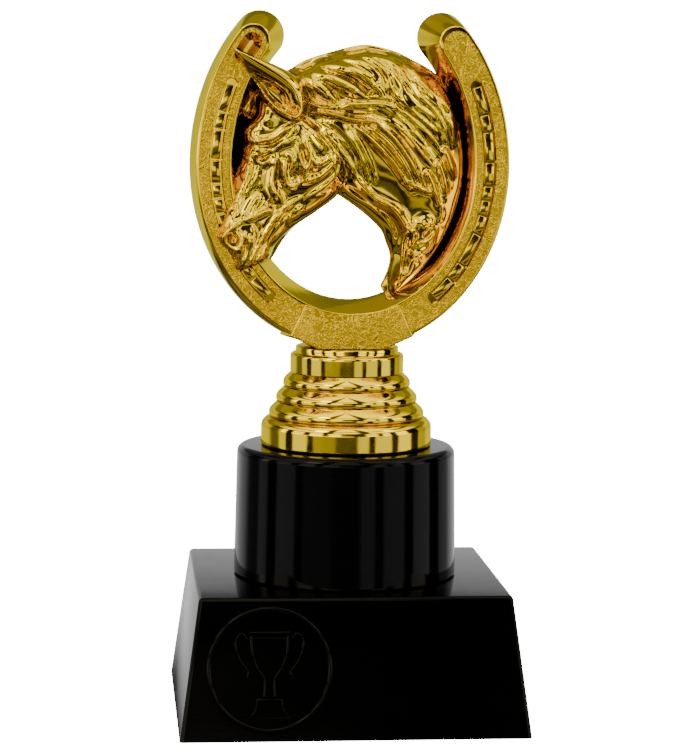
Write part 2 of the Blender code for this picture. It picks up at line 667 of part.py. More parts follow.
RIDGES = [  # path, half width, height
    ([(-0.1, -2.3), (3.4, -5.8), (6.2, -8.5), (10.9, -10.9), (13.7, -14.4), (14.5, -17.0), (13.4, -20.4),
      (13.6, -25.5), (12.9, -30.4)], 0.9, 1.7),
    ([(14.4, -15.4), (15.8, -17.5), (15.6, -20.8)], 0.6, 1.4),
    ([(21.5, -13.8), (21.8, -16.5), (20.0, -19.1), (17.0, -20.4)], 0.6, 1.2),
    ([(17.0, -13.6), (16.4, -16.4), (17.2, -18.8)], 0.6, 0.9),
    ([(3.0, -8.4), (7.2, -11.4), (10.4, -15.6), (12.0, -20.4)], 0.7, 0.9),
    ([(22.0, -8.6), (23.4, -11.6), (22.6, -14.8)], 0.8, 0.8),
    ([(18.6, -22.4), (20.2, -21.0), (22.0, -17.4)], 0.7, 1.0),
    ([(-28.0, 6.2), (-23.8, 6.3), (-20.9, 6.9), (-18.1, 8.9), (-15.8, 10.8)], 0.8, 1.3),
    ([(-20.4, 4.8), (-18.1, 7.1), (-15.8, 9.0), (-14.8, 10.2)], 0.6, 1.0),
    ([(-20.9, 3.5), (-19.1, 5.3), (-16.6, 6.1), (-15.0, 7.7)], 0.55, 1.1),
    ([(-26.8, 3.0), (-24.8, 2.5), (-22.7, 3.3), (-20.7, 4.3)], 0.45, 0.9),
    ([(-25.8, 2.0), (-24.0, 0.7), (-22.2, 1.5), (-20.7, 3.8)], 0.45, 1.0),
    ([(-25.0, -0.8), (-23.7, -0.1), (-21.7, 0.7), (-20.1, 1.0)], 0.5, 0.8),
    ([(-26.8, 4.0), (-27.0, 0.2), (-27.8, -3.7), (-29.3, -7.3), (-30.3, -10.4), (-30.5, -12.9)], 0.7, 1.0),
    ([(-24.5, -0.3), (-25.2, -3.1), (-26.7, -5.7), (-27.8, -7.8)], 0.6, 0.9),
    ([(-23.4, -0.6), (-23.9, -3.6), (-24.4, -6.2)], 0.55, 0.8),
    ([(-20.1, 3.3), (-20.6, -0.5), (-21.1, -4.7), (-20.0, -7.2), (-18.0, -8.7)], 0.65, 1.2),
    ([(-18.3, 2.0), (-18.3, -1.6), (-18.3, -4.6)], 0.5, 0.8),
    ([(-17.0, 2.0), (-17.8, -0.5), (-17.5, -4.1), (-15.9, -5.4), (-14.4, -4.6)], 0.55, 1.3),
    ([(-16.8, 3.6), (-15.7, 1.5), (-16.2, -1.0), (-16.7, -3.6)], 0.5, 1.0),
    ([(-14.8, 7.9), (-14.5, 4.1), (-13.4, 0.5), (-12.6, -1.0)], 0.55, 1.1),
    ([(-12.7, 9.2), (-11.9, 5.2), (-11.1, 1.6), (-12.4, -1.5), (-13.4, -4.6)], 0.6, 1.3),
    ([(-10.6, 2.1), (-9.3, 0.3), (-7.0, 1.4), (-5.5, 3.2)], 0.6, 1.1),
    ([(-13.9, -4.6), (-10.5, -3.5), (-7.0, -1.5), (-4.9, 0.9), (-4.4, 3.4)], 0.75, 1.3),
    ([(-13.1, -8.7), (-9.2, -6.6), (-6.1, -4.3), (-3.9, -1.4), (-3.2, 2.0), (-5.0, 6.0)], 0.8, 1.1),
    ([(-12.2, 9.0), (-10.6, 6.2), (-8.3, 3.9)], 0.5, 1.0),
    ([(-11.5, 10.0), (-8.6, 7.2), (-6.0, 4.4)], 0.5, 1.0),
    ([(-10.6, 10.6), (-7.2, 8.0), (-4.6, 5.2)], 0.45, 0.9),
    ([(-13.1, -7.9), (-16.4, -10.0), (-19.0, -12.3), (-21.5, -16.0), (-23.6, -19.3), (-25.6, -23.2),
      (-27.4, -26.0)], 0.65, 1.4),
    ([(-19.2, -10.5), (-22.8, -11.8), (-26.4, -13.4), (-29.0, -14.2)], 0.6, 1.4),
    ([(-23.9, -7.2), (-25.7, -8.5), (-27.5, -11.4), (-28.7, -13.9)], 0.6, 1.1),
    ([(-26.7, -13.4), (-25.2, -10.3), (-23.6, -8.0)], 0.5, 1.0),
    ([(-20.3, -5.7), (-19.3, -8.2), (-18.2, -9.8)], 0.6, 0.8),
    ([(-29.0, -14.2), (-31.3, -15.8), (-33.3, -18.1), (-33.8, -19.6), (-32.0, -20.6)], 0.65, 1.3),
    ([(-32.0, -20.4), (-29.7, -21.7), (-29.2, -19.1), (-30.0, -16.5)], 0.6, 1.2),
    ([(-28.5, -17.0), (-28.7, -21.7), (-29.2, -25.8)], 0.55, 1.0),
    ([(-26.7, -17.5), (-27.1, -21.1), (-28.1, -24.8)], 0.55, 1.1),
    ([(-26.2, -15.0), (-25.4, -17.5), (-26.1, -20.6)], 0.5, 0.8),
    ([(-29.7, -25.8), (-27.1, -25.8), (-24.5, -23.7), (-22.5, -21.1)], 0.6, 1.1),
    ([(-36.2, -15.5), (-36.4, -18.6), (-34.3, -21.2)], 0.7, 0.7),
    ([(-32.9, -8.6), (-34.4, -11.9), (-36.2, -15.0)], 0.7, 0.9),
    ([(-32.3, -21.7), (-32.5, -24.8), (-30.7, -26.8), (-27.6, -27.3)], 0.6, 1.0),
    ([(-27.4, -27.1), (-24.5, -25.2), (-22.0, -23.2), (-20.2, -20.6)], 0.7, 0.9),
    ([(-16.9, -12.3), (-17.9, -14.4), (-16.9, -16.4), (-15.3, -15.4)], 0.6, 1.2),
    ([(-19.4, -18.5), (-18.2, -17.2), (-16.9, -18.0)], 0.5, 0.8),
    ([(-33.6, -8.0), (-31.6, -3.4), (-30.2, 1.0)], 0.8, 0.8),
    ([(-26.4, 15.0), (-27.4, 12.0), (-27.4, 8.6)], 0.8, 0.8)]
GROOVES = [
    ([(-28.1, 5.1), (-23.8, 5.2), (-20.4, 5.8), (-17.6, 7.9), (-15.6, 9.5)], 0.4, 1.3),
    ([(-24.6, 1.8), (-22.6, 2.2), (-21.2, 3.4)], 0.5, 1.2),
    ([(-32.3, -17.4), (-31.3, -19.3), (-30.3, -18.1)], 0.8, 2.6),
    ([(-16.4, -11.4), (-19.7, -14.3), (-22.3, -18.4), (-24.6, -22.6), (-26.6, -26.5)], 0.5, 1.3),
    ([(-16.6, 2.4), (-16.8, -1.0), (-16.0, -3.8)], 0.5, 1.0),
    ([(-13.6, 5.6), (-13.2, 2.4), (-12.4, 0.2)], 0.45, 1.0),
    ([(-14.9, -1.4), (-14.2, -3.4)], 0.9, 1.4),
    ([(-11.0, -0.4), (-10.4, -2.0), (-8.4, -1.4)], 0.7, 1.0),
    ([(-9.0, 2.6), (-8.0, 2.2)], 0.7, 0.9),
    ([(-19.4, 1.6), (-19.6, -2.4), (-19.4, -5.4)], 0.5, 0.9),
    ([(-27.8, -18.2), (-27.8, -21.6), (-28.6, -24.6)], 0.45, 1.1),
    ([(-25.6, -14.6), (-24.6, -17.4), (-25.4, -20.6)], 0.6, 1.0),
    ([(-33.4, -21.6), (-31.2, -22.8), (-30.6, -25.2)], 0.5, 1.2),
    ([(-31.4, 0.0), (-32.6, -5.0), (-34.6, -9.6)], 0.5, 0.8),
    ([(-22.0, -9.2), (-19.6, -11.2), (-17.0, -11.6)], 0.8, 1.0),
    ([(-1.0, -5.4), (4.2, -9.0), (9.8, -13.6), (12.0, -17.6), (11.8, -22.0)], 0.6, 1.2),
    ([(15.6, -21.6), (14.9, -24.6), (14.4, -28.0)], 0.8, 1.3),
    ([(18.0, -19.8), (20.6, -17.6), (22.4, -13.6)], 0.45, 0.9)]
BUMPS = [  # x, z, radius, height
    (-24.6, 4.3, 1.5, 1.2), (-16.9, -13.9, 1.3, 1.0), (-14.0, -12.0, 1.4, 0.8), (-35.0, -17.4, 1.5, 0.6),
    (-22.4, -24.0, 2.0, 0.9), (-29.2, -26.6, 1.8, 0.8), (19.0, -15.4, 2.2, 1.9), (19.1, -14.6, 0.6, -0.9),
    (17.5, -23.4, 1.1, 1.3), (-22.6, 12.6, 2.6, 0.7), (-23.2, 10.0, 1.0, -0.5), (-28.6, 0.0, 2.0, 0.5),
    (23.0, -8.0, 2.6, 0.6), (-16.8, -14.4, 0.6, -1.1)]
EAR_FLOOR = 11.2
EAR_ROLLS = [  # path, half width and level of the ear's rolled parts
    ([(-31.9, 30.5), (-28.4, 27.3), (-24.2, 24.2), (-20.4, 21.6), (-17.2, 19.2), (-15.2, 16.4)], 2.5, 15.8),
    ([(-31.0, 28.8), (-28.8, 24.9), (-25.7, 21.2), (-23.6, 18.6)], 0.75, 14.6),
    ([(-24.6, 18.6), (-21.6, 15.5), (-18.2, 13.3), (-15.2, 12.4), (-14.0, 14.0), (-14.4, 17.2)], 1.15, 16.0),
]


def evenly(points, count):
    """Points at even shares of a smooth curve."""
    curve = smooth_through(points, 8)
    shares = np.linspace(0, 1, len(curve))
    wanted = np.linspace(0, 1, count)
    return np.column_stack([np.interp(wanted, shares, curve[:, a]) for a in (0, 1)])


def outline_distance(x, z, outline):
    """Signed distance to a closed outline, negative inside it."""
    nearest = np.full(x.shape, 1e9)
    inside = np.zeros(x.shape, bool)
    for (ax, az), (bx, bz) in zip(outline, np.roll(outline, -1, axis=0)):
        ex, ez = bx - ax, bz - az
        share = np.clip(((x - ax) * ex + (z - az) * ez) / (ex * ex + ez * ez + 1e-12), 0, 1)
        nearest = np.minimum(nearest, np.hypot(x - ax - share * ex, z - az - share * ez))
        if az != bz:
            inside ^= ((az > z) != (bz > z)) & (x < (z - az) * ex / ez + ax)
    return np.where(inside, -nearest, nearest)


def spread(x, z, levels, reach):
    """Heights between landmarks, each of which counts most near its own place."""
    total = np.zeros(x.shape)
    weight = np.full(x.shape, 1e-9)
    for lx, lz, level in levels:
        near = np.exp(-((x - lx) ** 2 + (z - lz) ** 2) / (2 * reach * reach))
        total += near * level
        weight += near
    return total / weight


def dome(distance, width, level, edge):
    """Rises from the edge's height to the full level over a width inside an outline."""
    share = np.clip(-distance / width, 0, 1)
    return edge + (level - edge) * np.sqrt(1 - (1 - share) ** 2)


def along_path(x, z, path, widths):
    """Distance from a path in shares of its half width, and how far along it."""
    near = np.full(x.shape, 1e9)
    run = np.zeros(x.shape)
    count = len(path) - 1
    for i in range(count):
        (ax, az), (bx, bz) = path[i], path[i + 1]
        ex, ez = bx - ax, bz - az
        share = np.clip(((x - ax) * ex + (z - az) * ez) / (ex * ex + ez * ez + 1e-12), 0, 1)
        px, pz = x - ax - share * ex, z - az - share * ez
        width = widths[i] + (widths[i + 1] - widths[i]) * share
        far = np.hypot(px, pz) / np.maximum(width, 0.02)
        closer = far < near
        near = np.where(closer, far, near)
        run = np.where(closer, (i + share) / count, run)
    return near, run


class Relief:
    """A height map over the middle plane, on a square grid."""

    def __init__(self, step):
        self.step = step
        self.xs = np.arange(-40.0, 34.0 + step, step)
        self.zs = np.arange(-38.0, 34.0 + step, step)
        self.x, self.z = np.meshgrid(self.xs, self.zs, indexing="ij")
        self.height = np.full(self.x.shape, WEB_LEVEL)

    def window(self, path, margin):
        low = np.min(path, axis=0) - margin
        high = np.max(path, axis=0) + margin
        i = np.searchsorted(self.xs, (low[0], high[0]))
        k = np.searchsorted(self.zs, (low[1], high[1]))
        return slice(i[0], i[1]), slice(k[0], k[1])

    def add_line(self, path, half_width, height, taper=0.25):
        """Adds a soft ridge along a path, or cuts a groove with a negative height."""
        path = smooth_through(path, 5)
        share = np.linspace(0, 1, len(path))
        ends = np.clip(np.minimum(share, 1 - share) / taper, 0, 1)
        widths = half_width * (0.45 + 0.55 * ends)
        win = self.window(path, half_width * 3)
        near, run = along_path(self.x[win], self.z[win], path, widths)
        fade = np.clip(np.minimum(run, 1 - run) / taper, 0.0, 1) ** 0.5
        self.height[win] += height * fade * np.exp(-(near**2))

    def add_bump(self, x, z, radius, height):
        win = self.window(np.array([(x, z)]), radius * 3)
        away = (self.x[win] - x) ** 2 + (self.z[win] - z) ** 2
        self.height[win] += height * np.exp(-away / (radius * radius))

    def add_lock(self, base, path, half_width, lift):
        """A lock of hair: a rounded strip with pointed ends that lies on the base."""
        share = np.linspace(0, 1, len(path))
        widths = half_width * np.minimum(1, np.minimum(share / 0.16, (1 - share) / 0.34)) ** 0.7
        win = self.window(path, half_width * 1.2)
        near, run = along_path(self.x[win], self.z[win], path, widths)
        across = np.clip(near, 0, 1)
        rise = np.minimum(1, np.minimum(run / 0.12, (1 - run) / 0.3)) ** 0.6
        lock = base[win] - 0.5 + (lift + 0.5) * rise * np.sqrt(1 - across**2)
        self.height[win] = np.where(near < 1, np.maximum(self.height[win], lock), self.height[win])


def carve(step):
    """The whole relief, and the distance to its outline."""
    relief = Relief(step)
    x, z = relief.x, relief.z
    neck = smooth_through(NECK, 4, closed=True)
    head = smooth_through(HEAD, 4, closed=True)
    ear = smooth_through(EAR, 4, closed=True)
    web = smooth_through(CREST, 4).tolist() + RIGHT_SIDE + smooth_through(THROAT, 4).tolist()
    web += smooth_through(CHIN_SIDE, 4).tolist() + LEFT_SIDE
    neck_gap = outline_distance(x, z, neck)
    head_gap = outline_distance(x, z, head)
    ear_gap = outline_distance(x, z, ear)
    web_gap = outline_distance(x, z, np.array(web))

    edge = WEB_LEVEL + 3.5 * np.clip((x - 13) / 10, 0, 1) * np.clip((24 - z) / 8, 0, 1)
    neck_level = dome(neck_gap, 5.5, spread(x, z, NECK_LEVELS, 5.0), edge)
    relief.height = np.where(neck_gap < 0, np.maximum(relief.height, neck_level), relief.height)
    rng = np.random.default_rng(11)
    base = relief.height.copy()
    shares = np.linspace(0, 1, 60)
    for upper, lower, count, half_width, lift, layers in MANE.values():
        guides = evenly(upper, len(shares)), evenly(lower, len(shares))
        for layer in range(layers):
            for i in range(count):
                place = (i + 0.5 * (layer % 2)) / count + rng.uniform(0.05, 0.45) / count
                start = 0.5 * layer / layers + rng.uniform(0, 0.12)
                stop = start + (rng.uniform(0.88, 1.0) if layers == 1 else rng.uniform(0.5, 0.68))
                t = np.linspace(start, min(stop, 1.0), 24)
                ends = [[np.interp(t, shares, guide[:, a]) for a in (0, 1)] for guide in guides]
                path = ((1 - place) * np.array(ends[0]) + place * np.array(ends[1])).T
                run = np.gradient(path, axis=0)
                normal = np.column_stack([-run[:, 1], run[:, 0]])
                normal /= np.linalg.norm(normal, axis=1)[:, None] + 1e-9
                wave = np.linspace(0, rng.uniform(3, 6), len(t)) + rng.uniform(0, 6)
                path = path + normal * (rng.uniform(0.2, 0.7) * np.sin(wave))[:, None]
                wide = half_width * rng.uniform(0.8, 1.2)
                rise = lift * rng.uniform(0.75, 1.2) + 0.2 * layer
                relief.add_lock(base, path, wide, rise)
    for path, half_width, lift in CURLS:
        relief.add_lock(base, smooth_through(path, 6), half_width, lift)

    head_level = dome(head_gap, 4.6, spread(x, z, HEAD_LEVELS, 4.0), WEB_LEVEL)
    relief.height = np.where(head_gap < 0, np.maximum(relief.height, head_level), relief.height)
    before = relief.height.copy()
    for path, half_width, height in RIDGES:
        relief.add_line(path, half_width, height)
    for path, half_width, depth in GROOVES:
        relief.add_line(path, half_width, -depth)
    for bump in BUMPS:
        relief.add_bump(*bump)
    inside = np.clip(-np.minimum(head_gap, neck_gap) / 1.2, 0, 1)
    relief.height = before + (relief.height - before) * inside

    ear_level = dome(ear_gap, 2.0, EAR_FLOOR, 9.5)
    for path, half_width, level in EAR_ROLLS:
        path = smooth_through(path, 5)
        near, _ = along_path(x, z, path, np.full(len(path), half_width))
        roll = EAR_FLOOR - 1 + (level - EAR_FLOOR + 1) * np.sqrt(np.clip(1 - near**2, 0, 1))
        ear_level = np.where(near < 1, np.maximum(ear_level, roll), ear_level)
    relief.height = np.where(ear_gap < 0, np.maximum(relief.height, ear_level), relief.height)
    gap = np.minimum(np.minimum(web_gap, head_gap), ear_gap)
    return relief, gap


def field_over(relief, gap, reach):
    """Samples of a field on a cubic grid: negative inside the horse, in the relief's own units."""
    levels = np.arange(-reach, reach + relief.step, relief.step)
    slope_x, slope_z = np.gradient(relief.height, relief.step)
    steep = np.sqrt(1 + slope_x**2 + slope_z**2)
    over = (np.abs(levels)[None, :, None] - relief.height[:, None, :]) / steep[:, None, :]
    side = gap[:, None, :] + EDGE_ROUND
    over = over + EDGE_ROUND
    outer = np.hypot(np.maximum(side, 0), np.maximum(over, 0))
    return outer + np.minimum(np.maximum(side, over), 0) - EDGE_ROUND, levels


def part_diagonals(field, least):
    """Moves weak samples outside until no two samples inside meet only across a diagonal of a square."""
    for _ in range(12):
        changed = 0
        for a, b in ((0, 1), (0, 2), (1, 2)):
            low, high = slice(0, -1), slice(1, None)
            views = []
            for end_a, end_b in ((low, low), (high, low), (low, high), (high, high)):
                cut = [slice(None)] * 3
                cut[a], cut[b] = end_a, end_b
                views.append(field[tuple(cut)])
            one, two, three, four = views
            inside = [view < 0 for view in views]
            crossed = (inside[0] == inside[3]) & (inside[1] == inside[2]) & (inside[0] != inside[1])
            first = crossed & inside[0]
            second = crossed & inside[1]
            changed += crossed.sum()
            one[first & (one >= four)] = least
            four[first & (one < four) & (four < 0)] = least
            two[second & (two >= three)] = least
            three[second & (two < three) & (three < 0)] = least
        if not changed:
            break
    return field


def skin(field):
    """Faces with four corners around the field's zero level, one corner in each grid cell it crosses."""
    inside = field < 0
    corners = [(i, j, k) for i in (0, 1) for j in (0, 1) for k in (0, 1)]
    shape = tuple(n - 1 for n in field.shape)

    def shifted(array, offset):
        return array[tuple(slice(o, o + n) for o, n in zip(offset, shape))]

    count = sum(shifted(inside, corner).astype(np.int8) for corner in corners)
    mixed = (count > 0) & (count < 8)
    number = np.full(shape, -1)
    number[mixed] = np.arange(mixed.sum())
    cells = np.argwhere(mixed)
    values = {corner: shifted(field, corner)[mixed] for corner in corners}
    total = np.zeros((len(cells), 3))
    crossings = np.zeros(len(cells))
    for a in corners:
        for axis in range(3):
            if a[axis]:
                continue
            b = tuple(1 if k == axis else a[k] for k in range(3))
            crossed = (values[a] < 0) != (values[b] < 0)
            span = np.where(crossed, values[a] - values[b], 1)
            share = np.where(crossed, values[a] / span, 0)
            place = np.array(a, float) + np.eye(3)[axis] * share[:, None]
            total += place * crossed[:, None]
            crossings += crossed
    points = cells + total / crossings[:, None]
    faces = []
    for axis in range(3):
        one, two = [k for k in range(3) if k != axis]
        low = [slice(None)] * 3
        high = [slice(None)] * 3
        low[axis] = slice(0, -1)
        high[axis] = slice(1, None)
        change = inside[tuple(low)] != inside[tuple(high)]
        spots = np.argwhere(change)
        spots = spots[(spots[:, one] > 0) & (spots[:, two] > 0)]
        spots = spots[(spots[:, one] < field.shape[one] - 1) & (spots[:, two] < field.shape[two] - 1)]
        around = []
        for d_one, d_two in ((-1, -1), (0, -1), (0, 0), (-1, 0)):
            cell = spots.copy()
            cell[:, one] += d_one
            cell[:, two] += d_two
            around.append(number[tuple(cell.T)])
        quads = np.column_stack(around)
        flip = inside[tuple(spots.T)]
        if axis == 1:
            flip = ~flip
        quads[~flip] = quads[~flip][:, ::-1]
        faces.append(quads)
    return points, np.concatenate(faces)


def make_horse(cutters):
    relief, gap = carve(CARVE_STEP)
    field, levels = field_over(relief, gap, CARVE_REACH)
    points, faces = skin(part_diagonals(field, CARVE_STEP * 0.02))
    points = points * relief.step + (relief.xs[0], levels[0], relief.zs[0])
    points *= (CARVE_UNIT, CARVE_DEPTH_UNIT, CARVE_UNIT)
    mesh = bpy.data.meshes.new("horse")
    mesh.from_pydata(points.tolist(), [], faces.tolist())
    shade(mesh, 60)
    horse = helper(add_object("horse", mesh, cutters))
    horse.location.z = OVAL_CENTRE
    triangulate = horse.modifiers.new("triangles", "TRIANGULATE")
    triangulate.min_vertices = 4
    fewer = horse.modifiers.new("fewer triangles", "DECIMATE")
    fewer.ratio = HORSE_TRIANGLES / (2 * len(faces))
    fewer.use_symmetry = True
    fewer.symmetry_axis = "Y"
    return horse


def make_figure(collection, cutters, material):
    shoe = make_shoe(cutters)
    figure = add_object("horse_and_shoe", shoe.data.copy(), collection, material)
    figure.location = shoe.location
    bpy.data.objects.remove(shoe)
    for groove in make_grooves(cutters):
        boolean(figure, groove, "DIFFERENCE")
    boolean(figure, make_nails(cutters), "UNION")
    boolean(figure, make_block(cutters), "UNION")
    boolean(figure, make_trim(cutters), "DIFFERENCE")
    boolean(figure, make_horse(cutters), "UNION")
    return figure


def main():
    clear_scene()
    trophy = make_collection("horse_trophy")
    cutters = make_collection("cutters")
    gold = make_material("gold_plating", GOLD, 0.12, 1.0)
    black = make_material("black_plastic", BLACK, 0.10, 0.0)
    make_figure(trophy, cutters, gold)
    make_bell(trophy, gold)
    make_riser(trophy, black)
    make_plinth(trophy, cutters, black)
    bpy.context.view_layer.update()


main()
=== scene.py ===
"""Looks for the horse trophy: carving, nail heads, medallion, mirror gold and glossy black plastic."""

import math

import bmesh
import bpy
import numpy as np
from mathutils import Matrix, Vector


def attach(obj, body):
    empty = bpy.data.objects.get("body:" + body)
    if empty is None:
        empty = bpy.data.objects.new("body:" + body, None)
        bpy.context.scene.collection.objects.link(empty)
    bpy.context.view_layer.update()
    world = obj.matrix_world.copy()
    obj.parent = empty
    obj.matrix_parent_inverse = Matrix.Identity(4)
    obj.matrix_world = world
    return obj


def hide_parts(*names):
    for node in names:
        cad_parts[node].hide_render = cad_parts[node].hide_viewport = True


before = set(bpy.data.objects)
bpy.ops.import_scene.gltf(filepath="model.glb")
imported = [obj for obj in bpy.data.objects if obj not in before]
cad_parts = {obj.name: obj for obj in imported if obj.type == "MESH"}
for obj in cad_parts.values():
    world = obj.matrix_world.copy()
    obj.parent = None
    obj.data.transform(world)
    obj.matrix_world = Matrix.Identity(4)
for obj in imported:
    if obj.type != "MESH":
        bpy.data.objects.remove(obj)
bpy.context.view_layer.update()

MM = 0.001
PLINTH_WIDTH = 90.0 * MM
PLINTH_DEPTH = 80.0 * MM
PLINTH_HEIGHT = 36.0 * MM
PLINTH_INSET = 4.9 * MM
PLINTH_EDGE = 1.0 * MM
MEDAL_RADIUS = 15.4 * MM
MEDAL_BEAD = 0.74 * MM
MEDAL_OFFSET = 22.3 * MM
MEDAL_LINE = 0.4 * MM
MEDAL_SINK = 0.1 * MM
RISER_BOTTOM_RADIUS = 29.5 * MM
RISER_TOP_RADIUS = 28.9 * MM
RISER_HEIGHT = 34.0 * MM
RISER_EDGE = 2.0 * MM
BELL_RIM_RADIUS = 22.6 * MM
BELL_RIM_HEIGHT = 4.6 * MM
BELL_RIM_SHOULDER = 2.6 * MM
BELL_RING_COUNT = 3
BELL_RING_PITCH = 4.0 * MM
BELL_RING_STEP = 1.85 * MM
BELL_COLLAR_RADIUS = 15.0 * MM
BELL_COLLAR_HEIGHT = 5.1 * MM
BELL_DISC_RADIUS = 13.6 * MM
BELL_DISC_HEIGHT = 1.8 * MM
TURNED_SIDES = 144
WALL_END = 0.2 * MM  # a turned wall is shaded flat up to this far from its ends
SEAT_GAP = 0.3 * MM
SHOE_WIDTH = 81.2 * MM
SHOE_BAND = 9.1 * MM
SHOE_HALF_DEPTH = 12.5 * MM
SHOE_SLOPE_IN = 2.9 * MM
SHOE_SLOPE_OUT = 1.3 * MM
SHOE_DROP_SHARE = 1.185
SHOE_RISE_SHARE = 1.282
SHOE_RIM = 0.75 * MM  # the bright rim along the edges of the shoe's engraved faces
SHOE_RIM_RISE = 0.22 * MM
SHOE_EDGE = 0.3 * MM
HORN_ANGLE = 43.7
HORN_REACH = 3.6
HORN_TAPER = 0.04
SHOE_STEPS = 150
HORN_STEPS = 24
GROOVE_WIDTH = 3.3 * MM
GROOVE_DEPTH = 1.5 * MM
GROOVE_OFFSET = -0.55 * MM
GROOVE_DRAFT = 0.25 * MM
GROOVE_LIP = 0.3 * MM
GROOVE_TOP = 27.0
GROOVE_BOTTOM = -53.0
GROOVE_STEPS = 60
GROOVE_END_STEPS = 12
POCKET_REACH = 3.2 * MM  # half the width of the smooth hollow behind the ear's tip
POCKET_DEPTH = 3.6 * MM
POCKET_FLOOR = 0.5 * MM
POCKET_START = -223.0
POCKET_END = -218.0
POCKET_STEPS = 8
NAIL_WIDTH = 2.3 * MM
NAIL_HEIGHT = 0.9 * MM
NAIL_GAP = 0.45 * MM
NAIL_EDGE = 0.28 * MM
NAIL_TILT = 0.04
NAIL_SHARES = (28, 17, 29, 23, 14, 15, 19, 33, 18, 24)
BLOCK_PROUD = 0.4 * MM
BLOCK_TOP_HALF = 12.2 * MM
BLOCK_SIDE_HALF = 16.0 * MM
BLOCK_FOOT_HALF = 8.7 * MM
BLOCK_SIDE_RISE = 3.3 * MM
BLOCK_SLOPE = 2.0 * MM
BLOCK_HEIGHT = 11.6 * MM
BLOCK_TRIM = 1.0 * MM
BLOCK_EDGE = 0.3 * MM
BLOCK_SAG = 0.21
BLOCK_ARCH_STEPS = 40
TRIM_SIZE = (60 * MM, 40 * MM, 8 * MM)
CARVE_STEP = 0.3
CARVE_COMB = 0.3  # depth of the strands in a lock of hair
CARVE_SOFT = 0.34  # rounds off every edge of the carving
CARVE_REACH = 18.0
HORSE_TRIANGLES = 190000
NEUTRAL = (1.0, 1.0, 1.0)

RISER_BASE = PLINTH_HEIGHT + SEAT_GAP
BELL_BASE = RISER_BASE + RISER_HEIGHT + SEAT_GAP
BELL_HEIGHT = BELL_RIM_HEIGHT + BELL_RIM_SHOULDER + BELL_RING_COUNT * BELL_RING_PITCH
BELL_HEIGHT += BELL_COLLAR_HEIGHT
BELL_HEIGHT += BELL_DISC_HEIGHT
BLOCK_BASE = BELL_BASE + BELL_HEIGHT + SEAT_GAP
OVAL_HALF = SHOE_WIDTH / 2 - SHOE_BAND / 2
OVAL_DROP = OVAL_HALF * SHOE_DROP_SHARE
OVAL_RISE = OVAL_HALF * SHOE_RISE_SHARE
OVAL_CENTRE = BLOCK_BASE + OVAL_DROP + SHOE_BAND / 2
CARVE_UNIT = (SHOE_WIDTH / 2 - SHOE_BAND) / 31.5
CARVE_DEPTH_UNIT = SHOE_HALF_DEPTH / 12.5


def pairs(*numbers):
    """Points of an outline or a path, or stops of a ramp, from numbers in a row."""
    return list(zip(numbers[::2], numbers[1::2]))


dressing = bpy.data.collections.new("dressing")
bpy.context.scene.collection.children.link(dressing)
studio = bpy.data.collections.new("studio")
bpy.context.scene.collection.children.link(studio)


def mesh_of(form, name):
    mesh = bpy.data.meshes.new(name)
    form.to_mesh(mesh)
    form.free()
    return mesh


def closed_mesh(form, name):
    form.normal_update()
    bmesh.ops.recalc_face_normals(form, faces=form.faces)
    return mesh_of(form, name)


def box_mesh(name, matrix):
    form = bmesh.new()
    bmesh.ops.create_cube(form, size=1.0, matrix=matrix)
    return mesh_of(form, name)


def join_rings(form, rings):
    """Faces between each ring of corners and the next."""
    for a, b in zip(rings, rings[1:]):
        for k in range(len(a)):
            n = (k + 1) % len(a)
            form.faces.new((a[k], a[n], b[n], b[k]))


def add_object(name, data, *materials):
    obj = bpy.data.objects.new(name, data)
    dressing.objects.link(obj)
    for material in materials:
        data.materials.append(material)
    return obj


def evaluated_mesh(obj):
    bpy.context.view_layer.update()
    graph = bpy.context.evaluated_depsgraph_get()
    return bpy.data.meshes.new_from_object(obj.evaluated_get(graph))


def settle(obj):
    """Makes the modifiers' result the object's own mesh."""
    mesh = evaluated_mesh(obj)
    obj.modifiers.clear()
    obj.data = mesh
    return obj


def round_edges(obj, width, segments, limit="ANGLE"):
    bevel = obj.modifiers.new("edges", "BEVEL")
    bevel.limit_method = limit
    bevel.width = width
    bevel.segments = segments
    return settle(obj)


def dress(obj, node, angle=35):
    """Shades a piece, attaches it to the root body and hides the CAD node that it stands for."""
    obj.data.shade_smooth()
    obj.data.set_sharp_from_angle(angle=math.radians(angle))
    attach(obj, "root")
    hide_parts(node)
    return obj


# Materials


class Nodes:
    """A short way to add nodes to a tree, each with its inputs as values or links."""

    def __init__(self, tree):
        self.tree = tree

    def node(self, kind, inputs=(), **settings):
        node = self.tree.nodes.new("ShaderNode" + kind)
        for key, value in settings.items():
            setattr(node, key, value)
        for key, value in dict(inputs).items():
            if isinstance(value, bpy.types.NodeSocket):
                self.tree.links.new(value, node.inputs[key])
            else:
                node.inputs[key].default_value = value
        return node

    def math(self, operation, *values):
        return self.node("Math", enumerate(values), operation=operation).outputs[0]

    def mix(self, blend_type, one, two):
        inputs = {"Factor": 1.0, "A": one, "B": two}
        return self.node("Mix", inputs, data_type="RGBA", blend_type=blend_type).outputs["Result"]

    def ramp(self, value, stops, tint=NEUTRAL):
        """A ramp from a value between 0 and 1 to the brightness at each stop."""
        ramp = self.node("ValToRGB", {"Fac": value})
        made = ramp.color_ramp.elements
        for k, (place, level) in enumerate(stops):
            stop = made[k] if k < 2 else made.new(place)
            stop.position = place
            stop.color = (*(level * part for part in tint), 1)
        return ramp.outputs["Color"]


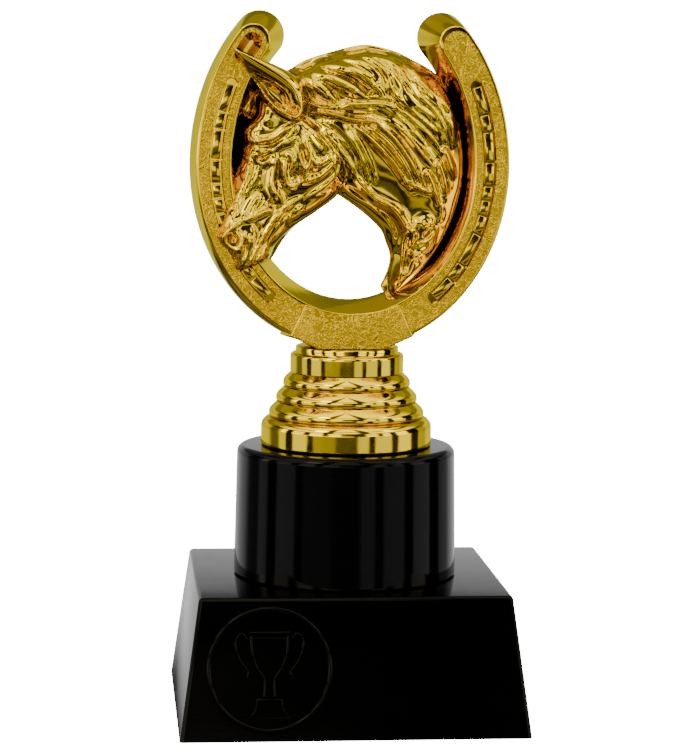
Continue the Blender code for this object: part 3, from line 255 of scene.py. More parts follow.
class Shader(Nodes):
    """A Principled material and the nodes that feed it."""

    def __init__(self, name):
        self.material = bpy.data.materials.new(name)
        self.material.use_nodes = True
        super().__init__(self.material.node_tree)
        self.principled = self.tree.nodes["Principled BSDF"]
        self.place = self.node("TexCoord").outputs["Object"]

    def noise(self, scale, detail=2.0, distortion=0.0, place=None):
        node = self.node(
            "TexNoise",
            {"Vector": place or self.place, "Scale": scale, "Detail": detail, "Distortion": distortion},
        )
        return node.outputs["Fac"]

    def fit(self, value, low, high, to_low, to_high):
        settings = {"Value": value, "From Min": low, "From Max": high, "To Min": to_low, "To Max": to_high}
        return self.node("MapRange", settings).outputs["Result"]

    def blend(self, factor, one, two):
        ramp = self.node("ValToRGB", {"Fac": factor})
        ramp.color_ramp.elements[0].color = (*one, 1)
        ramp.color_ramp.elements[1].color = (*two, 1)
        return ramp.outputs["Color"]

    def bump(self, height, strength, distance, under=None):
        inputs = {"Height": height, "Strength": strength, "Distance": distance}
        if under:
            inputs["Normal"] = under
        return self.node("Bump", inputs).outputs["Normal"]

    def feed(self, name, value):
        if isinstance(value, bpy.types.NodeSocket):
            self.tree.links.new(value, self.principled.inputs[name])
        else:
            self.principled.inputs[name].default_value = value


GOLD_EDGE_TINT = (0.80, 0.76, 0.06, 1.0)


def make_mirror_gold():
    """Metal film on plastic: a warm mirror with faint flow waves and a little unevenness in its shine."""
    gold = Shader("mirror_gold")
    tint = gold.fit(gold.noise(55.0, 3.0), 0.3, 0.7, 0.0, 1.0)
    gold.feed("Base Color", gold.blend(tint, (0.65, 0.455, 0.004), (0.71, 0.505, 0.006)))
    gold.feed("Metallic", 1.0)
    gold.feed("Specular Tint", GOLD_EDGE_TINT)
    gold.feed("Roughness", gold.fit(gold.noise(420.0, 4.0), 0.35, 0.75, 0.05, 0.12))
    waves = gold.bump(gold.noise(180.0, 1.0), 0.04, 0.001)
    gold.feed("Normal", gold.bump(gold.noise(2600.0, 2.0), 0.006, 0.0002, waves))
    return gold.material


def make_engraved_gold():
    """The shoe's faces: fine curling lines pressed into a slightly matt film."""
    gold = Shader("engraved_gold")
    flat = {0: gold.place, 1: (1.0, 0.15, 1.0)}
    bent = gold.node("VectorMath", flat, operation="MULTIPLY").outputs["Vector"]
    curls = gold.noise(430.0, 1.5, 2.2, bent)
    away = gold.math("ABSOLUTE", gold.math("SUBTRACT", curls, 0.5))
    lines = gold.fit(away, 0.0, 0.06, 1.0, 0.0)
    grain = gold.noise(1100.0, 3.0, 0.6, bent)
    tint = gold.fit(gold.noise(120.0, 3.0), 0.3, 0.7, 0.0, 1.0)
    gold.feed("Base Color", gold.blend(tint, (0.67, 0.43, 0.002), (0.75, 0.49, 0.003)))
    gold.feed("Metallic", 1.0)
    gold.feed("Specular Tint", GOLD_EDGE_TINT)
    gold.feed("Roughness", gold.fit(lines, 0.0, 1.0, 0.30, 0.20))
    soft = gold.bump(grain, 0.13, 0.0004)
    gold.feed("Normal", gold.bump(lines, 0.34, 0.0004, soft))
    return gold.material


def make_black_plastic():
    """Polished black plastic with faint moulding waves, fine hairlines and a trace of dust."""
    black = Shader("gloss_black")
    tint = black.fit(black.noise(90.0, 4.0), 0.3, 0.75, 0.0, 1.0)
    black.feed("Base Color", black.blend(tint, (0.0002, 0.0002, 0.0002), (0.0006, 0.0006, 0.0007)))
    stretched = black.node("Mapping", {"Vector": black.place, "Scale": (1.0, 1.0, 14.0)}).outputs["Vector"]
    hairs = black.noise(300.0, 6.0, 0.2, stretched)
    black.feed("Roughness", black.fit(hairs, 0.35, 0.75, 0.06, 0.15))
    black.feed("IOR", 1.22)
    black.feed("Specular IOR Level", 0.3)
    black.feed("Normal", black.bump(black.noise(70.0, 1.0), 0.03, 0.001))
    return black.material


mirror_gold = make_mirror_gold()
engraved_gold = make_engraved_gold()
gloss_black = make_black_plastic()


# Horse: half the head's thickness is drawn as a height over the middle plane, like a relief

WEB_LEVEL = 1.5  # half thickness of the flat web that borders the carving
EDGE_ROUND = 0.6
NECK_DOME = 5.5  # how far in from an outline the full height is reached
HEAD_DOME = 4.6
EAR_DOME = 2.0
EAR_EDGE = 9.5
NECK_REACH = 5.0  # how far a landmark's height counts
HEAD_REACH = 4.0
LINE_FADE = 1.2  # ridges and grooves fade out this close to the outline

CREST = pairs(-24, 21, -19.2, 23.7, -15.8, 24.8, -12.4, 26.9, -9, 28.2, -4.3, 29.6, 0.6, 30.9,
    4.8, 31.3, 11.4, 29.8, 16.7, 27.3, 21.5, 24.7, 27, 20)
RIGHT_SIDE = pairs(32, 6, 31.5, -8, 27.5, -20, 20, -31, 12, -37.5)
THROAT = pairs(8.6, -31.8, 10.4, -27.8, 11.1, -23.9, 9.9, -20.2, 8.4, -16.8, 3.3, -12.1, -3.1, -7.7)
CHIN_SIDE = pairs(-9.1, -12.7, -14.1, -16.1, -17.5, -20.1, -19.9, -24.2, -23, -27.6, -27, -30)
LEFT_SIDE = pairs(-28, -22, -33, -8, -33, 6, -29, 17)

HEAD = pairs(-21.5, 19, -24.6, 18.4, -25.5, 15.8, -25.9, 13.3, -28, 11, -29.2, 8.3, -29.4, 3.1,
    -31.1, -2.1, -33.2, -5.9, -35, -12, -36.6, -16.2, -36.9, -19, -35, -21.8, -33.6, -24.2, -32, -27.2,
    -29.8, -28.5, -26.8, -28.4, -23, -26.8, -20.6, -24, -18.8, -20.3, -14.8, -16.4, -9.6, -12.9,
    -4.2, -9, -1.4, -5.6, -0.6, -1.8, -1.6, 3, -4.2, 7.6, -9, 11.8, -12.6, 14.6, -16, 17.5)
HEAD_LEVELS = ((-22, 13, 11.8), (-24.5, 7.5, 12.8), (-18, 9, 12.3), (-24, 3.3, 11.6), (-9, 2.7, 13.4),
    (-2, -3, 10.8), (-8, -9, 10.6), (-20, -5, 12.2), (-17, 1, 12.8), (-28.5, -4, 11.4),
    (-32, -17, 14.6), (-29, -21, 15), (-27, -26, 13.6), (-21, -22, 12.4), (-21, -14, 13.2),
    (-14, -14, 10.4), (-32, -10, 13.2))

NECK = pairs(-17.5, 21, -15, 23, -11.9, 25.2, -8.4, 26.8, -4, 28.2, 0.8, 29.4, 4.8, 29.9, 11.2, 28.4,
    16.2, 26, 21.2, 23.2, 25.6, 18.4, 28.4, 12, 29.6, 4, 29.7, -2, 29.1, -7, 27.2, -13.6, 24, -20.4,
    18.8, -28.2, 12.6, -34.4, 10.6, -31.6, 11.3, -27, 12, -23.6, 10.6, -19.6, 8.8, -16, 3.7, -11.2,
    -2.9, -6.7, -8, 2, -15, 12)
NECK_LEVELS = ((-10, 22, 9.6), (-3, 25, 9.4), (6, 26, 9), (14, 23, 8.8), (0, 18, 10.6), (10, 16, 11.2),
    (-4, 13, 10.8), (8, 5, 11.4), (18, 12, 10.4), (17, -2, 11), (24, 8, 9.2), (25, -3, 9.2),
    (20, -12, 9.6), (16, -20, 8.6), (14, -28, 6), (2, -2, 8.2), (8, -6, 9.2), (22, -20, 7.2),
    (12, -13, 9.6))

EAR = pairs(-32.1, 30.7, -29, 29.5, -24.2, 27.5, -18.9, 25.4, -14.6, 22.9, -12.5, 19.4, -11.9, 16,
    -12.4, 13.2, -15, 11.7, -19.4, 13.4, -22.8, 16.7, -25.6, 20.4, -28.6, 24.6, -30.8, 28)

# Each family of locks fills the space between two guides. Behind the guides stand: how many locks, their
# half width, their lift over the neck, how many layers overlap, and how many strands a lock is combed into
MANE = {
    "middle": (
        pairs(-3.6, 17.7, 1.5, 17, 8, 17.2, 12.4, 14.6, 17.6, 11, 22, 6.8, 25, 1.6),
        pairs(-11.3, 14.8, -4.9, 14.2, 1.6, 13.6, 8.1, 11.6, 12.8, 8.2, 16.6, 3.6, 20, -0.8, 23, -4.6),
        6, 1.15, 1.6, 2, 2,
    ),
    "crest": (
        pairs(10.7, 29.2, 14.1, 27.2, 17.2, 23.4, 21.4, 19.3, 25.2, 14.7, 26.6, 9.6, 27, 4.8),
        pairs(-3.6, 28.2, 3.1, 27.2, 7.8, 23.9, 9.6, 19.5, 12, 15.6, 16.2, 12.4, 20.8, 8.9, 24.6, 3.8),
        8, 1.3, 2.3, 3, 2,
    ),
    "right": (
        pairs(13.6, 28.2, 18.2, 25.2, 22.6, 21, 25.8, 16, 27.2, 10.6),
        pairs(10.7, 28.8, 15.6, 25, 19.6, 20.2, 23.8, 14.6, 26, 8.6),
        3, 1, 2, 2, 1,
    ),
    "fan": (
        pairs(-0.4, 12.2, 6.2, 11.2, 11.3, 7.9, 14.9, 3, 17, -1.6, 18.6, -5.9),
        pairs(-1.2, 12, 1.4, 8, 5.4, 4, 9.6, -0.4, 12.4, -4.4, 15.4, -8.2),
        3, 1.1, 2.6, 1, 2,
    ),
    "sweep": (
        pairs(-8, 13.4, -2, 11.6, 1.4, 7.6, 4.2, 2.6, 6, -2.2, 6.7, -6.6),
        pairs(-11.2, 11.2, -8, 8.6, -4.8, 5.2, -2.2, 1.6, -0.4, -1.6, 1, -4.4),
        5, 0.85, 2.3, 1, 1,
    ),
}
# Single big locks: half width, lift and strands, then the path
CURLS = (
    (1.7, 2.6, 3, -6.6, 28.4, -0.6, 27.6, 4, 25.2, 7.2, 21.6, 9.2, 17.6),
    (2.1, 2.9, 4, -10.2, 26.4, -3.8, 25.6, 2, 23.2, 6, 20, 8.4, 17.2),
    (2, 3.1, 4, -12.8, 24.4, -7.6, 22.9, -2.8, 20.9, 1, 18.9, 4, 17),
    (2.3, 3.5, 5, -15.6, 22.9, -12.8, 22.5, -9.6, 20.3, -6.5, 17.8, -3.8, 16.2),
    (0.6, 2.2, 0, -14, 18.2, -10.8, 15.8, -6.8, 15, -3, 16.2),
    (0.7, 2.9, 0, -11.6, 14.2, -6.2, 13.4, -0.4, 12, 6.6, 11.2, 11.6, 8),
    (1.1, 2.4, 0, 23.6, 4.8, 25, 1.4, 26.6, -3.4),
    (0.9, 2, 0, 22, 1.6, 23.6, -2.4, 24.6, -8),
    (0.9, 1.8, 0, 19, -1, 20.8, -4.6, 22.6, -10.6),
    (0.8, 1.6, 0, 12.6, -3.4, 16.6, -5.2, 21.6, -7.4),
)
# Half width and height, then the path
RIDGES = (
    (0.9, 1.7, -0.1, -2.3, 3.4, -5.8, 6.2, -8.5, 10.9, -10.9, 13.7, -14.4, 14.5, -17, 13.4, -20.4,
     13.6, -25.5, 12.9, -30.4),
    (0.6, 1.4, 14.4, -15.4, 15.8, -17.5, 15.6, -20.8),
    (0.6, 1.2, 21.5, -13.8, 21.8, -16.5, 20, -19.1, 17, -20.4),
    (0.6, 0.9, 17, -13.6, 16.4, -16.4, 17.2, -18.8),
    (0.7, 0.9, 3, -8.4, 7.2, -11.4, 10.4, -15.6, 12, -20.4),
    (0.8, 0.8, 22, -8.6, 23.4, -11.6, 22.6, -14.8),
    (0.7, 1, 18.6, -22.4, 20.2, -21, 22, -17.4),
    (0.8, 1.3, -28, 6.2, -23.8, 6.3, -20.9, 6.9, -18.1, 8.9, -15.8, 10.8),
    (0.6, 1, -20.4, 4.8, -18.1, 7.1, -15.8, 9, -14.8, 10.2),
    (0.55, 1.1, -20.9, 3.5, -19.1, 5.3, -16.6, 6.1, -15, 7.7),
    (0.45, 0.9, -26.8, 3, -24.8, 2.5, -22.7, 3.3, -20.7, 4.3),
    (0.45, 1, -25.8, 2, -24, 0.7, -22.2, 1.5, -20.7, 3.8),
    (0.5, 0.8, -25, -0.8, -23.7, -0.1, -21.7, 0.7, -20.1, 1),
    (0.7, 1, -26.8, 4, -27, 0.2, -27.8, -3.7, -29.3, -7.3, -30.3, -10.4, -30.5, -12.9),
    (0.6, 0.9, -24.5, -0.3, -25.2, -3.1, -26.7, -5.7, -27.8, -7.8),
    (0.55, 0.8, -23.4, -0.6, -23.9, -3.6, -24.4, -6.2),
    (0.65, 1.2, -20.1, 3.3, -20.6, -0.5, -21.1, -4.7, -20, -7.2, -18, -8.7),
    (0.5, 0.8, -18.3, 2, -18.3, -1.6, -18.3, -4.6),
    (0.55, 1.3, -17, 2, -17.8, -0.5, -17.5, -4.1, -15.9, -5.4, -14.4, -4.6),
    (0.5, 1, -16.8, 3.6, -15.7, 1.5, -16.2, -1, -16.7, -3.6),
    (0.55, 1.1, -14.8, 7.9, -14.5, 4.1, -13.4, 0.5, -12.6, -1),
    (0.6, 1.3, -12.7, 9.2, -11.9, 5.2, -11.1, 1.6, -12.4, -1.5, -13.4, -4.6),
    (0.6, 1.1, -10.6, 2.1, -9.3, 0.3, -7, 1.4, -5.5, 3.2),
    (0.75, 1.3, -13.9, -4.6, -10.5, -3.5, -7, -1.5, -4.9, 0.9, -4.4, 3.4),
    (0.8, 1.1, -13.1, -8.7, -9.2, -6.6, -6.1, -4.3, -3.9, -1.4, -3.2, 2, -5, 6),
    (0.5, 1, -12.2, 9, -10.6, 6.2, -8.3, 3.9),
    (0.5, 1, -11.5, 10, -8.6, 7.2, -6, 4.4),
    (0.45, 0.9, -10.6, 10.6, -7.2, 8, -4.6, 5.2),
    (0.65, 1.4, -13.1, -7.9, -16.4, -10, -19, -12.3, -21.5, -16, -23.6, -19.3, -25.6, -23.2, -27.4, -26),
    (0.6, 1.4, -19.2, -10.5, -22.8, -11.8, -26.4, -13.4, -29, -14.2),
    (0.6, 1.1, -23.9, -7.2, -25.7, -8.5, -27.5, -11.4, -28.7, -13.9),
    (0.5, 1, -26.7, -13.4, -25.2, -10.3, -23.6, -8),
    (0.6, 0.8, -20.3, -5.7, -19.3, -8.2, -18.2, -9.8),
    (0.65, 1.3, -29, -14.2, -31.3, -15.8, -33.3, -18.1, -33.8, -19.6, -32, -20.6),
    (0.6, 1.2, -32, -20.4, -29.7, -21.7, -29.2, -19.1, -30, -16.5),
    (0.55, 1, -28.5, -17, -28.7, -21.7, -29.2, -25.8),
    (0.55, 1.1, -26.7, -17.5, -27.1, -21.1, -28.1, -24.8),
    (0.5, 0.8, -26.2, -15, -25.4, -17.5, -26.1, -20.6),
    (0.6, 1.1, -29.7, -25.8, -27.1, -25.8, -24.5, -23.7, -22.5, -21.1),
    (0.7, 0.7, -36.2, -15.5, -36.4, -18.6, -34.3, -21.2),
    (0.7, 0.9, -32.9, -8.6, -34.4, -11.9, -36.2, -15),
    (0.6, 1, -32.3, -21.7, -32.5, -24.8, -30.7, -26.8, -27.6, -27.3),
    (0.7, 0.9, -27.4, -27.1, -24.5, -25.2, -22, -23.2, -20.2, -20.6),
    (0.6, 1.2, -16.9, -12.3, -17.9, -14.4, -16.9, -16.4, -15.3, -15.4),
    (0.5, 0.8, -19.4, -18.5, -18.2, -17.2, -16.9, -18),
    (0.8, 0.8, -33.6, -8, -31.6, -3.4, -30.2, 1),
    (0.8, 0.8, -26.4, 15, -27.4, 12, -27.4, 8.6),
)
# Half width and depth, then the path
GROOVES = (
    (0.4, 1.3, -28.1, 5.1, -23.8, 5.2, -20.4, 5.8, -17.6, 7.9, -15.6, 9.5),
    (0.5, 1.2, -24.6, 1.8, -22.6, 2.2, -21.2, 3.4),
    (0.8, 2.6, -32.3, -17.4, -31.3, -19.3, -30.3, -18.1),
    (0.5, 1.3, -16.4, -11.4, -19.7, -14.3, -22.3, -18.4, -24.6, -22.6, -26.6, -26.5),
    (0.5, 1, -16.6, 2.4, -16.8, -1, -16, -3.8),
    (0.45, 1, -13.6, 5.6, -13.2, 2.4, -12.4, 0.2),
    (0.9, 1.4, -14.9, -1.4, -14.2, -3.4),
    (0.7, 1, -11, -0.4, -10.4, -2, -8.4, -1.4),
    (0.7, 0.9, -9, 2.6, -8, 2.2),
    (0.5, 0.9, -19.4, 1.6, -19.6, -2.4, -19.4, -5.4),
    (0.45, 1.1, -27.8, -18.2, -27.8, -21.6, -28.6, -24.6),
    (0.6, 1, -25.6, -14.6, -24.6, -17.4, -25.4, -20.6),
    (0.5, 1.2, -33.4, -21.6, -31.2, -22.8, -30.6, -25.2),
    (0.5, 0.8, -31.4, 0, -32.6, -5, -34.6, -9.6),
    (0.8, 1, -22, -9.2, -19.6, -11.2, -17, -11.6),
    (0.6, 1.2, -1, -5.4, 4.2, -9, 9.8, -13.6, 12, -17.6, 11.8, -22),
    (0.8, 1.3, 15.6, -21.6, 14.9, -24.6, 14.4, -28),
    (0.45, 0.9, 18, -19.8, 20.6, -17.6, 22.4, -13.6),
)
# X, Z, radius and height
BUMPS = ((-24.6, 4.3, 1.5, 1.2), (-16.9, -13.9, 1.3, 1), (-14, -12, 1.4, 0.8), (-35, -17.4, 1.5, 0.6),
    (-22.4, -24, 2, 0.9), (-29.2, -26.6, 1.8, 0.8), (19, -15.4, 2.2, 1.9), (19.1, -14.6, 0.6, -0.9),
    (17.5, -23.4, 1.1, 1.3), (-22.6, 12.6, 2.6, 0.7), (-23.2, 10, 1, -0.5), (-28.6, 0, 2, 0.5),
    (23, -8, 2.6, 0.6), (-16.8, -14.4, 0.6, -1.1))
EAR_FLOOR = 11.2
# The ear's rolled parts: half width and level, then the path
EAR_ROLLS = (
    (3, 15.8, -31.9, 30.5, -28.2, 27.8, -23.6, 25, -19.3, 22.4, -16.2, 19.8, -14.8, 16.8),
    (0.75, 14.6, -31, 28.8, -28.8, 24.9, -25.7, 21.2, -23.6, 18.6),
    (1.15, 16, -24.6, 18.6, -21.6, 15.5, -18.2, 13.3, -15.2, 12.4, -14, 14, -14.4, 17.2),
)


def smooth_through(points, steps, closed=False):
    points = [np.array(p, float) for p in points]
    count = len(points)
    spans = count if closed else count - 1
    made = []
    for i in range(spans):
        if closed:
            a, b, c, d = (points[(i + k) % count] for k in (-1, 0, 1, 2))
        else:
            a, b, c, d = (points[min(max(i + k, 0), count - 1)] for k in (-1, 0, 1, 2))
        for k in range(steps):
            t = k / steps
            square, cube = 2 * a - 5 * b + 4 * c - d, 3 * b - a - 3 * c + d
            made.append(0.5 * (2 * b + (c - a) * t + square * t * t + cube * t**3))
    if not closed:
        made.append(points[-1])
    return np.array(made)


def evenly(points, count):
    """Points at even shares of a smooth curve."""
    curve = smooth_through(points, 8)
    shares = np.linspace(0, 1, len(curve))
    wanted = np.linspace(0, 1, count)
    return np.column_stack([np.interp(wanted, shares, curve[:, a]) for a in (0, 1)])


def outline_distance(x, z, outline):
    """Signed distance to a closed outline, negative inside it."""
    nearest = np.full(x.shape, 1e9)
    inside = np.zeros(x.shape, bool)
    for (ax, az), (bx, bz) in zip(outline, np.roll(outline, -1, axis=0)):
        ex, ez = bx - ax, bz - az
        share = np.clip(((x - ax) * ex + (z - az) * ez) / (ex * ex + ez * ez + 1e-12), 0, 1)
        nearest = np.minimum(nearest, np.hypot(x - ax - share * ex, z - az - share * ez))
        if az != bz:
            inside ^= ((az > z) != (bz > z)) & (x < (z - az) * ex / ez + ax)
    return np.where(inside, -nearest, nearest)


def spread(x, z, levels, reach):
    """Heights between landmarks, each of which counts most near its own place."""
    total = np.zeros(x.shape)
    weight = np.full(x.shape, 1e-9)
    for lx, lz, level in levels:
        near = np.exp(-((x - lx) ** 2 + (z - lz) ** 2) / (2 * reach * reach))
        total += near * level
        weight += near
    return total / weight


def dome(distance, width, level, edge):
    """Rises from the edge's height to the full level over a width inside an outline."""
    share = np.clip(-distance / width, 0, 1)
    return edge + (level - edge) * np.sqrt(1 - (1 - share) ** 2)


def along_path(x, z, path, widths):
    """Distance from a path in shares of its half width, which side, and how far along it."""
    near = np.full(x.shape, 1e9)
    side = np.zeros(x.shape)
    run = np.zeros(x.shape)
    count = len(path) - 1
    for i in range(count):
        (ax, az), (bx, bz) = path[i], path[i + 1]
        ex, ez = bx - ax, bz - az
        share = np.clip(((x - ax) * ex + (z - az) * ez) / (ex * ex + ez * ez + 1e-12), 0, 1)
        px, pz = x - ax - share * ex, z - az - share * ez
        width = widths[i] + (widths[i + 1] - widths[i]) * share
        far = np.hypot(px, pz) / np.maximum(width, 0.02)
        closer = far < near
        near = np.where(closer, far, near)
        side = np.where(closer, np.sign(ex * pz - ez * px), side)
        run = np.where(closer, (i + share) / count, run)
    return near, side, run


class Relief:
    """A height map over the middle plane, on a square grid."""

    def __init__(self, step):
        self.step = step
        self.xs = np.arange(-40.0, 34.0 + step, step)
        self.zs = np.arange(-38.0, 34.0 + step, step)
        self.x, self.z = np.meshgrid(self.xs, self.zs, indexing="ij")
        self.height = np.full(self.x.shape, WEB_LEVEL)

    def window(self, path, margin):
        low = np.min(path, axis=0) - margin
        high = np.max(path, axis=0) + margin
        i = np.searchsorted(self.xs, (low[0], high[0]))
        k = np.searchsorted(self.zs, (low[1], high[1]))
        return slice(i[0], i[1]), slice(k[0], k[1])

    def add_line(self, path, half_width, height, taper=0.25):
        """Adds a soft ridge along a path, or cuts a groove with a negative height."""
        path = smooth_through(path, 5)
        share = np.linspace(0, 1, len(path))
        ends = np.clip(np.minimum(share, 1 - share) / taper, 0, 1)
        widths = half_width * (0.45 + 0.55 * ends)
        win = self.window(path, half_width * 3)
        near, _, run = along_path(self.x[win], self.z[win], path, widths)
        fade = np.clip(np.minimum(run, 1 - run) / taper, 0.0, 1) ** 0.5
        self.height[win] += height * fade * np.exp(-(near**2))

    def add_bump(self, x, z, radius, height):
        win = self.window(np.array([(x, z)]), radius * 3)
        away = (self.x[win] - x) ** 2 + (self.z[win] - z) ** 2
        self.height[win] += height * np.exp(-away / (radius * radius))

    def add_lock(self, base, path, half_width, lift, strands, comb):
        """A lock of hair: a rounded strip with pointed ends that lies on the base."""
        share = np.linspace(0, 1, len(path))
        widths = half_width * np.minimum(1, np.minimum(share / 0.16, (1 - share) / 0.34)) ** 0.7
        win = self.window(path, half_width * 1.2)
        near, side, run = along_path(self.x[win], self.z[win], path, widths)
        across = np.clip(near, 0, 1)
        rise = np.minimum(1, np.minimum(run / 0.12, (1 - run) / 0.3)) ** 0.6
        shape = np.sqrt(1 - across**2)
        if strands:
            shape = shape - comb * (0.5 - 0.5 * np.cos(2 * math.pi * strands * (side * across + 1) / 2))
        lock = base[win] - 0.5 + (lift + 0.5) * rise * shape
        self.height[win] = np.where(near < 1, np.maximum(self.height[win], lock), self.height[win])


def carve(step, comb):
    """The whole relief, and the distance to its outline. Comb is how deep the strands of a lock are cut."""
    relief = Relief(step)
    x, z = relief.x, relief.z
    neck = smooth_through(NECK, 4, closed=True)
    head = smooth_through(HEAD, 4, closed=True)
    ear = smooth_through(EAR, 4, closed=True)
    web = smooth_through(CREST, 4).tolist() + RIGHT_SIDE + smooth_through(THROAT, 4).tolist()
    web += smooth_through(CHIN_SIDE, 4).tolist() + LEFT_SIDE
    neck_gap = outline_distance(x, z, neck)
    head_gap = outline_distance(x, z, head)
    ear_gap = outline_distance(x, z, ear)
    web_gap = outline_distance(x, z, np.array(web))

    edge = WEB_LEVEL + 3.5 * np.clip((x - 13) / 10, 0, 1) * np.clip((24 - z) / 8, 0, 1)
    neck_level = dome(neck_gap, NECK_DOME, spread(x, z, NECK_LEVELS, NECK_REACH), edge)
    relief.height = np.where(neck_gap < 0, np.maximum(relief.height, neck_level), relief.height)
    rng = np.random.default_rng(11)
    base = relief.height.copy()
    shares = np.linspace(0, 1, 60)
    for upper, lower, count, half_width, lift, layers, strands in MANE.values():
        guides = evenly(upper, len(shares)), evenly(lower, len(shares))
        for layer in range(layers):
            for i in range(count):
                place = (i + 0.5 * (layer % 2)) / count + rng.uniform(0.05, 0.45) / count
                start = 0.5 * layer / layers + rng.uniform(0, 0.12)
                stop = start + (rng.uniform(0.88, 1.0) if layers == 1 else rng.uniform(0.5, 0.68))
                t = np.linspace(start, min(stop, 1.0), 24)
                ends = [[np.interp(t, shares, guide[:, a]) for a in (0, 1)] for guide in guides]
                path = ((1 - place) * np.array(ends[0]) + place * np.array(ends[1])).T
                run = np.gradient(path, axis=0)
                normal = np.column_stack([-run[:, 1], run[:, 0]])
                normal /= np.linalg.norm(normal, axis=1)[:, None] + 1e-9
                wave = np.linspace(0, rng.uniform(3, 6), len(t)) + rng.uniform(0, 6)
                path = path + normal * (rng.uniform(0.2, 0.7) * np.sin(wave))[:, None]
                wide = half_width * rng.uniform(0.8, 1.2)
                rise = lift * rng.uniform(0.75, 1.2) + 0.2 * layer
                relief.add_lock(base, path, wide, rise, strands, comb)
    for half_width, lift, strands, *path in CURLS:
        relief.add_lock(base, smooth_through(pairs(*path), 6), half_width, lift, strands, comb)

    head_level = dome(head_gap, HEAD_DOME, spread(x, z, HEAD_LEVELS, HEAD_REACH), WEB_LEVEL)
    relief.height = np.where(head_gap < 0, np.maximum(relief.height, head_level), relief.height)
    before = relief.height.copy()
    for half_width, height, *path in RIDGES:
        relief.add_line(pairs(*path), half_width, height)
    for half_width, depth, *path in GROOVES:
        relief.add_line(pairs(*path), half_width, -depth)
    for bump in BUMPS:
        relief.add_bump(*bump)
    inside = np.clip(-np.minimum(head_gap, neck_gap) / LINE_FADE, 0, 1)
    relief.height = before + (relief.height - before) * inside

    ear_level = dome(ear_gap, EAR_DOME, EAR_FLOOR, EAR_EDGE)
    for half_width, level, *path in EAR_ROLLS:
        path = smooth_through(pairs(*path), 5)
        near, _, _ = along_path(x, z, path, np.full(len(path), half_width))
        roll = EAR_FLOOR - 1 + (level - EAR_FLOOR + 1) * np.sqrt(np.clip(1 - near**2, 0, 1))
        ear_level = np.where(near < 1, np.maximum(ear_level, roll), ear_level)
    relief.height = np.where(ear_gap < 0, np.maximum(relief.height, ear_level), relief.height)
    gap = np.minimum(np.minimum(web_gap, head_gap), ear_gap)
    return relief, gap


# Turned pieces


def turned(name, profile, material):
    mesh = bpy.data.meshes.new(name)
    points = [(radius, 0.0, height) for radius, height in profile]
    mesh.from_pydata(points, [(i, i + 1) for i in range(len(points) - 1)], [])
    obj = add_object(name, mesh, material)
    screw = obj.modifiers.new("turn", "SCREW")
    screw.steps = TURNED_SIDES
    screw.render_steps = TURNED_SIDES
    screw.use_merge_vertices = True
    screw.merge_threshold = 0.00001
    return settle(obj)


def quarter_round(inner, outer, top, bottom, steps):
    points = []
    for i in range(steps + 1):
        angle = math.pi / 2 * i / steps
        points.append((inner + (outer - inner) * math.sin(angle), bottom + (top - bottom) * math.cos(angle)))
    return points


def ring_round(inner, outer, top, bottom, steps):
    """A ring's side: a soft cove out from the piece above, then a full round down to the groove below."""
    points = []
    for i in range(steps + 1):
        t = i / steps
        bulge = math.sin(min(1.0, t / 0.68) * math.pi / 2) ** 1.1
        dip = 1 - 0.30 * max(0.0, (t - 0.82) / 0.18) ** 2
        points.append((inner + (outer - inner) * bulge * dip, top + (bottom - top) * t))
    return points


def bell_profile():
    points = [(0.0, BELL_HEIGHT)]
    edge = 0.5 * MM
    points += quarter_round(BELL_DISC_RADIUS - edge, BELL_DISC_RADIUS, BELL_HEIGHT, BELL_HEIGHT - edge, 6)
    level = BELL_HEIGHT - BELL_DISC_HEIGHT
    points.append((BELL_DISC_RADIUS, level + 0.15 * MM))
    points.append((BELL_DISC_RADIUS + 0.1 * MM, level))
    edge = 0.9 * MM
    inner = BELL_COLLAR_RADIUS
    points += quarter_round(inner - edge, inner, level - 0.02 * MM, level - edge, 8)
    points.append((inner, level - edge - WALL_END))
    level -= BELL_COLLAR_HEIGHT
    points.append((inner, level + WALL_END))
    points.append((inner, level + WALL_END / 2))
    for ring in range(BELL_RING_COUNT):
        outer = BELL_COLLAR_RADIUS + (ring + 1) * BELL_RING_STEP
        points += ring_round(inner - 0.25 * MM, outer, level, level - BELL_RING_PITCH, 22)
        level -= BELL_RING_PITCH
        inner = outer
    rim = BELL_RIM_RADIUS
    points += quarter_round(inner - 0.3 * MM, rim, level, level - BELL_RIM_SHOULDER, 14)
    points.append((rim, level - BELL_RIM_SHOULDER - WALL_END))
    points.append((rim, 0.25 * MM + WALL_END))
    points.append((rim, 0.25 * MM))
    points.append((rim - 0.2 * MM, 0.0))
    points.append((0.0, 0.0))
    return points


def riser_profile():
    points = [(0.0, RISER_HEIGHT)]
    points += quarter_round(
        RISER_TOP_RADIUS - RISER_EDGE, RISER_TOP_RADIUS, RISER_HEIGHT, RISER_HEIGHT - RISER_EDGE, 12
    )
    top, foot = RISER_HEIGHT - RISER_EDGE, 0.3 * MM
    for height in (top - WALL_END, foot + WALL_END, foot):
        share = (height - foot) / (top - foot)
        points.append((RISER_BOTTOM_RADIUS + (RISER_TOP_RADIUS - RISER_BOTTOM_RADIUS) * share, height))
    points += [(RISER_BOTTOM_RADIUS - 0.3 * MM, 0.0), (0.0, 0.0)]
    return points


# Plinth


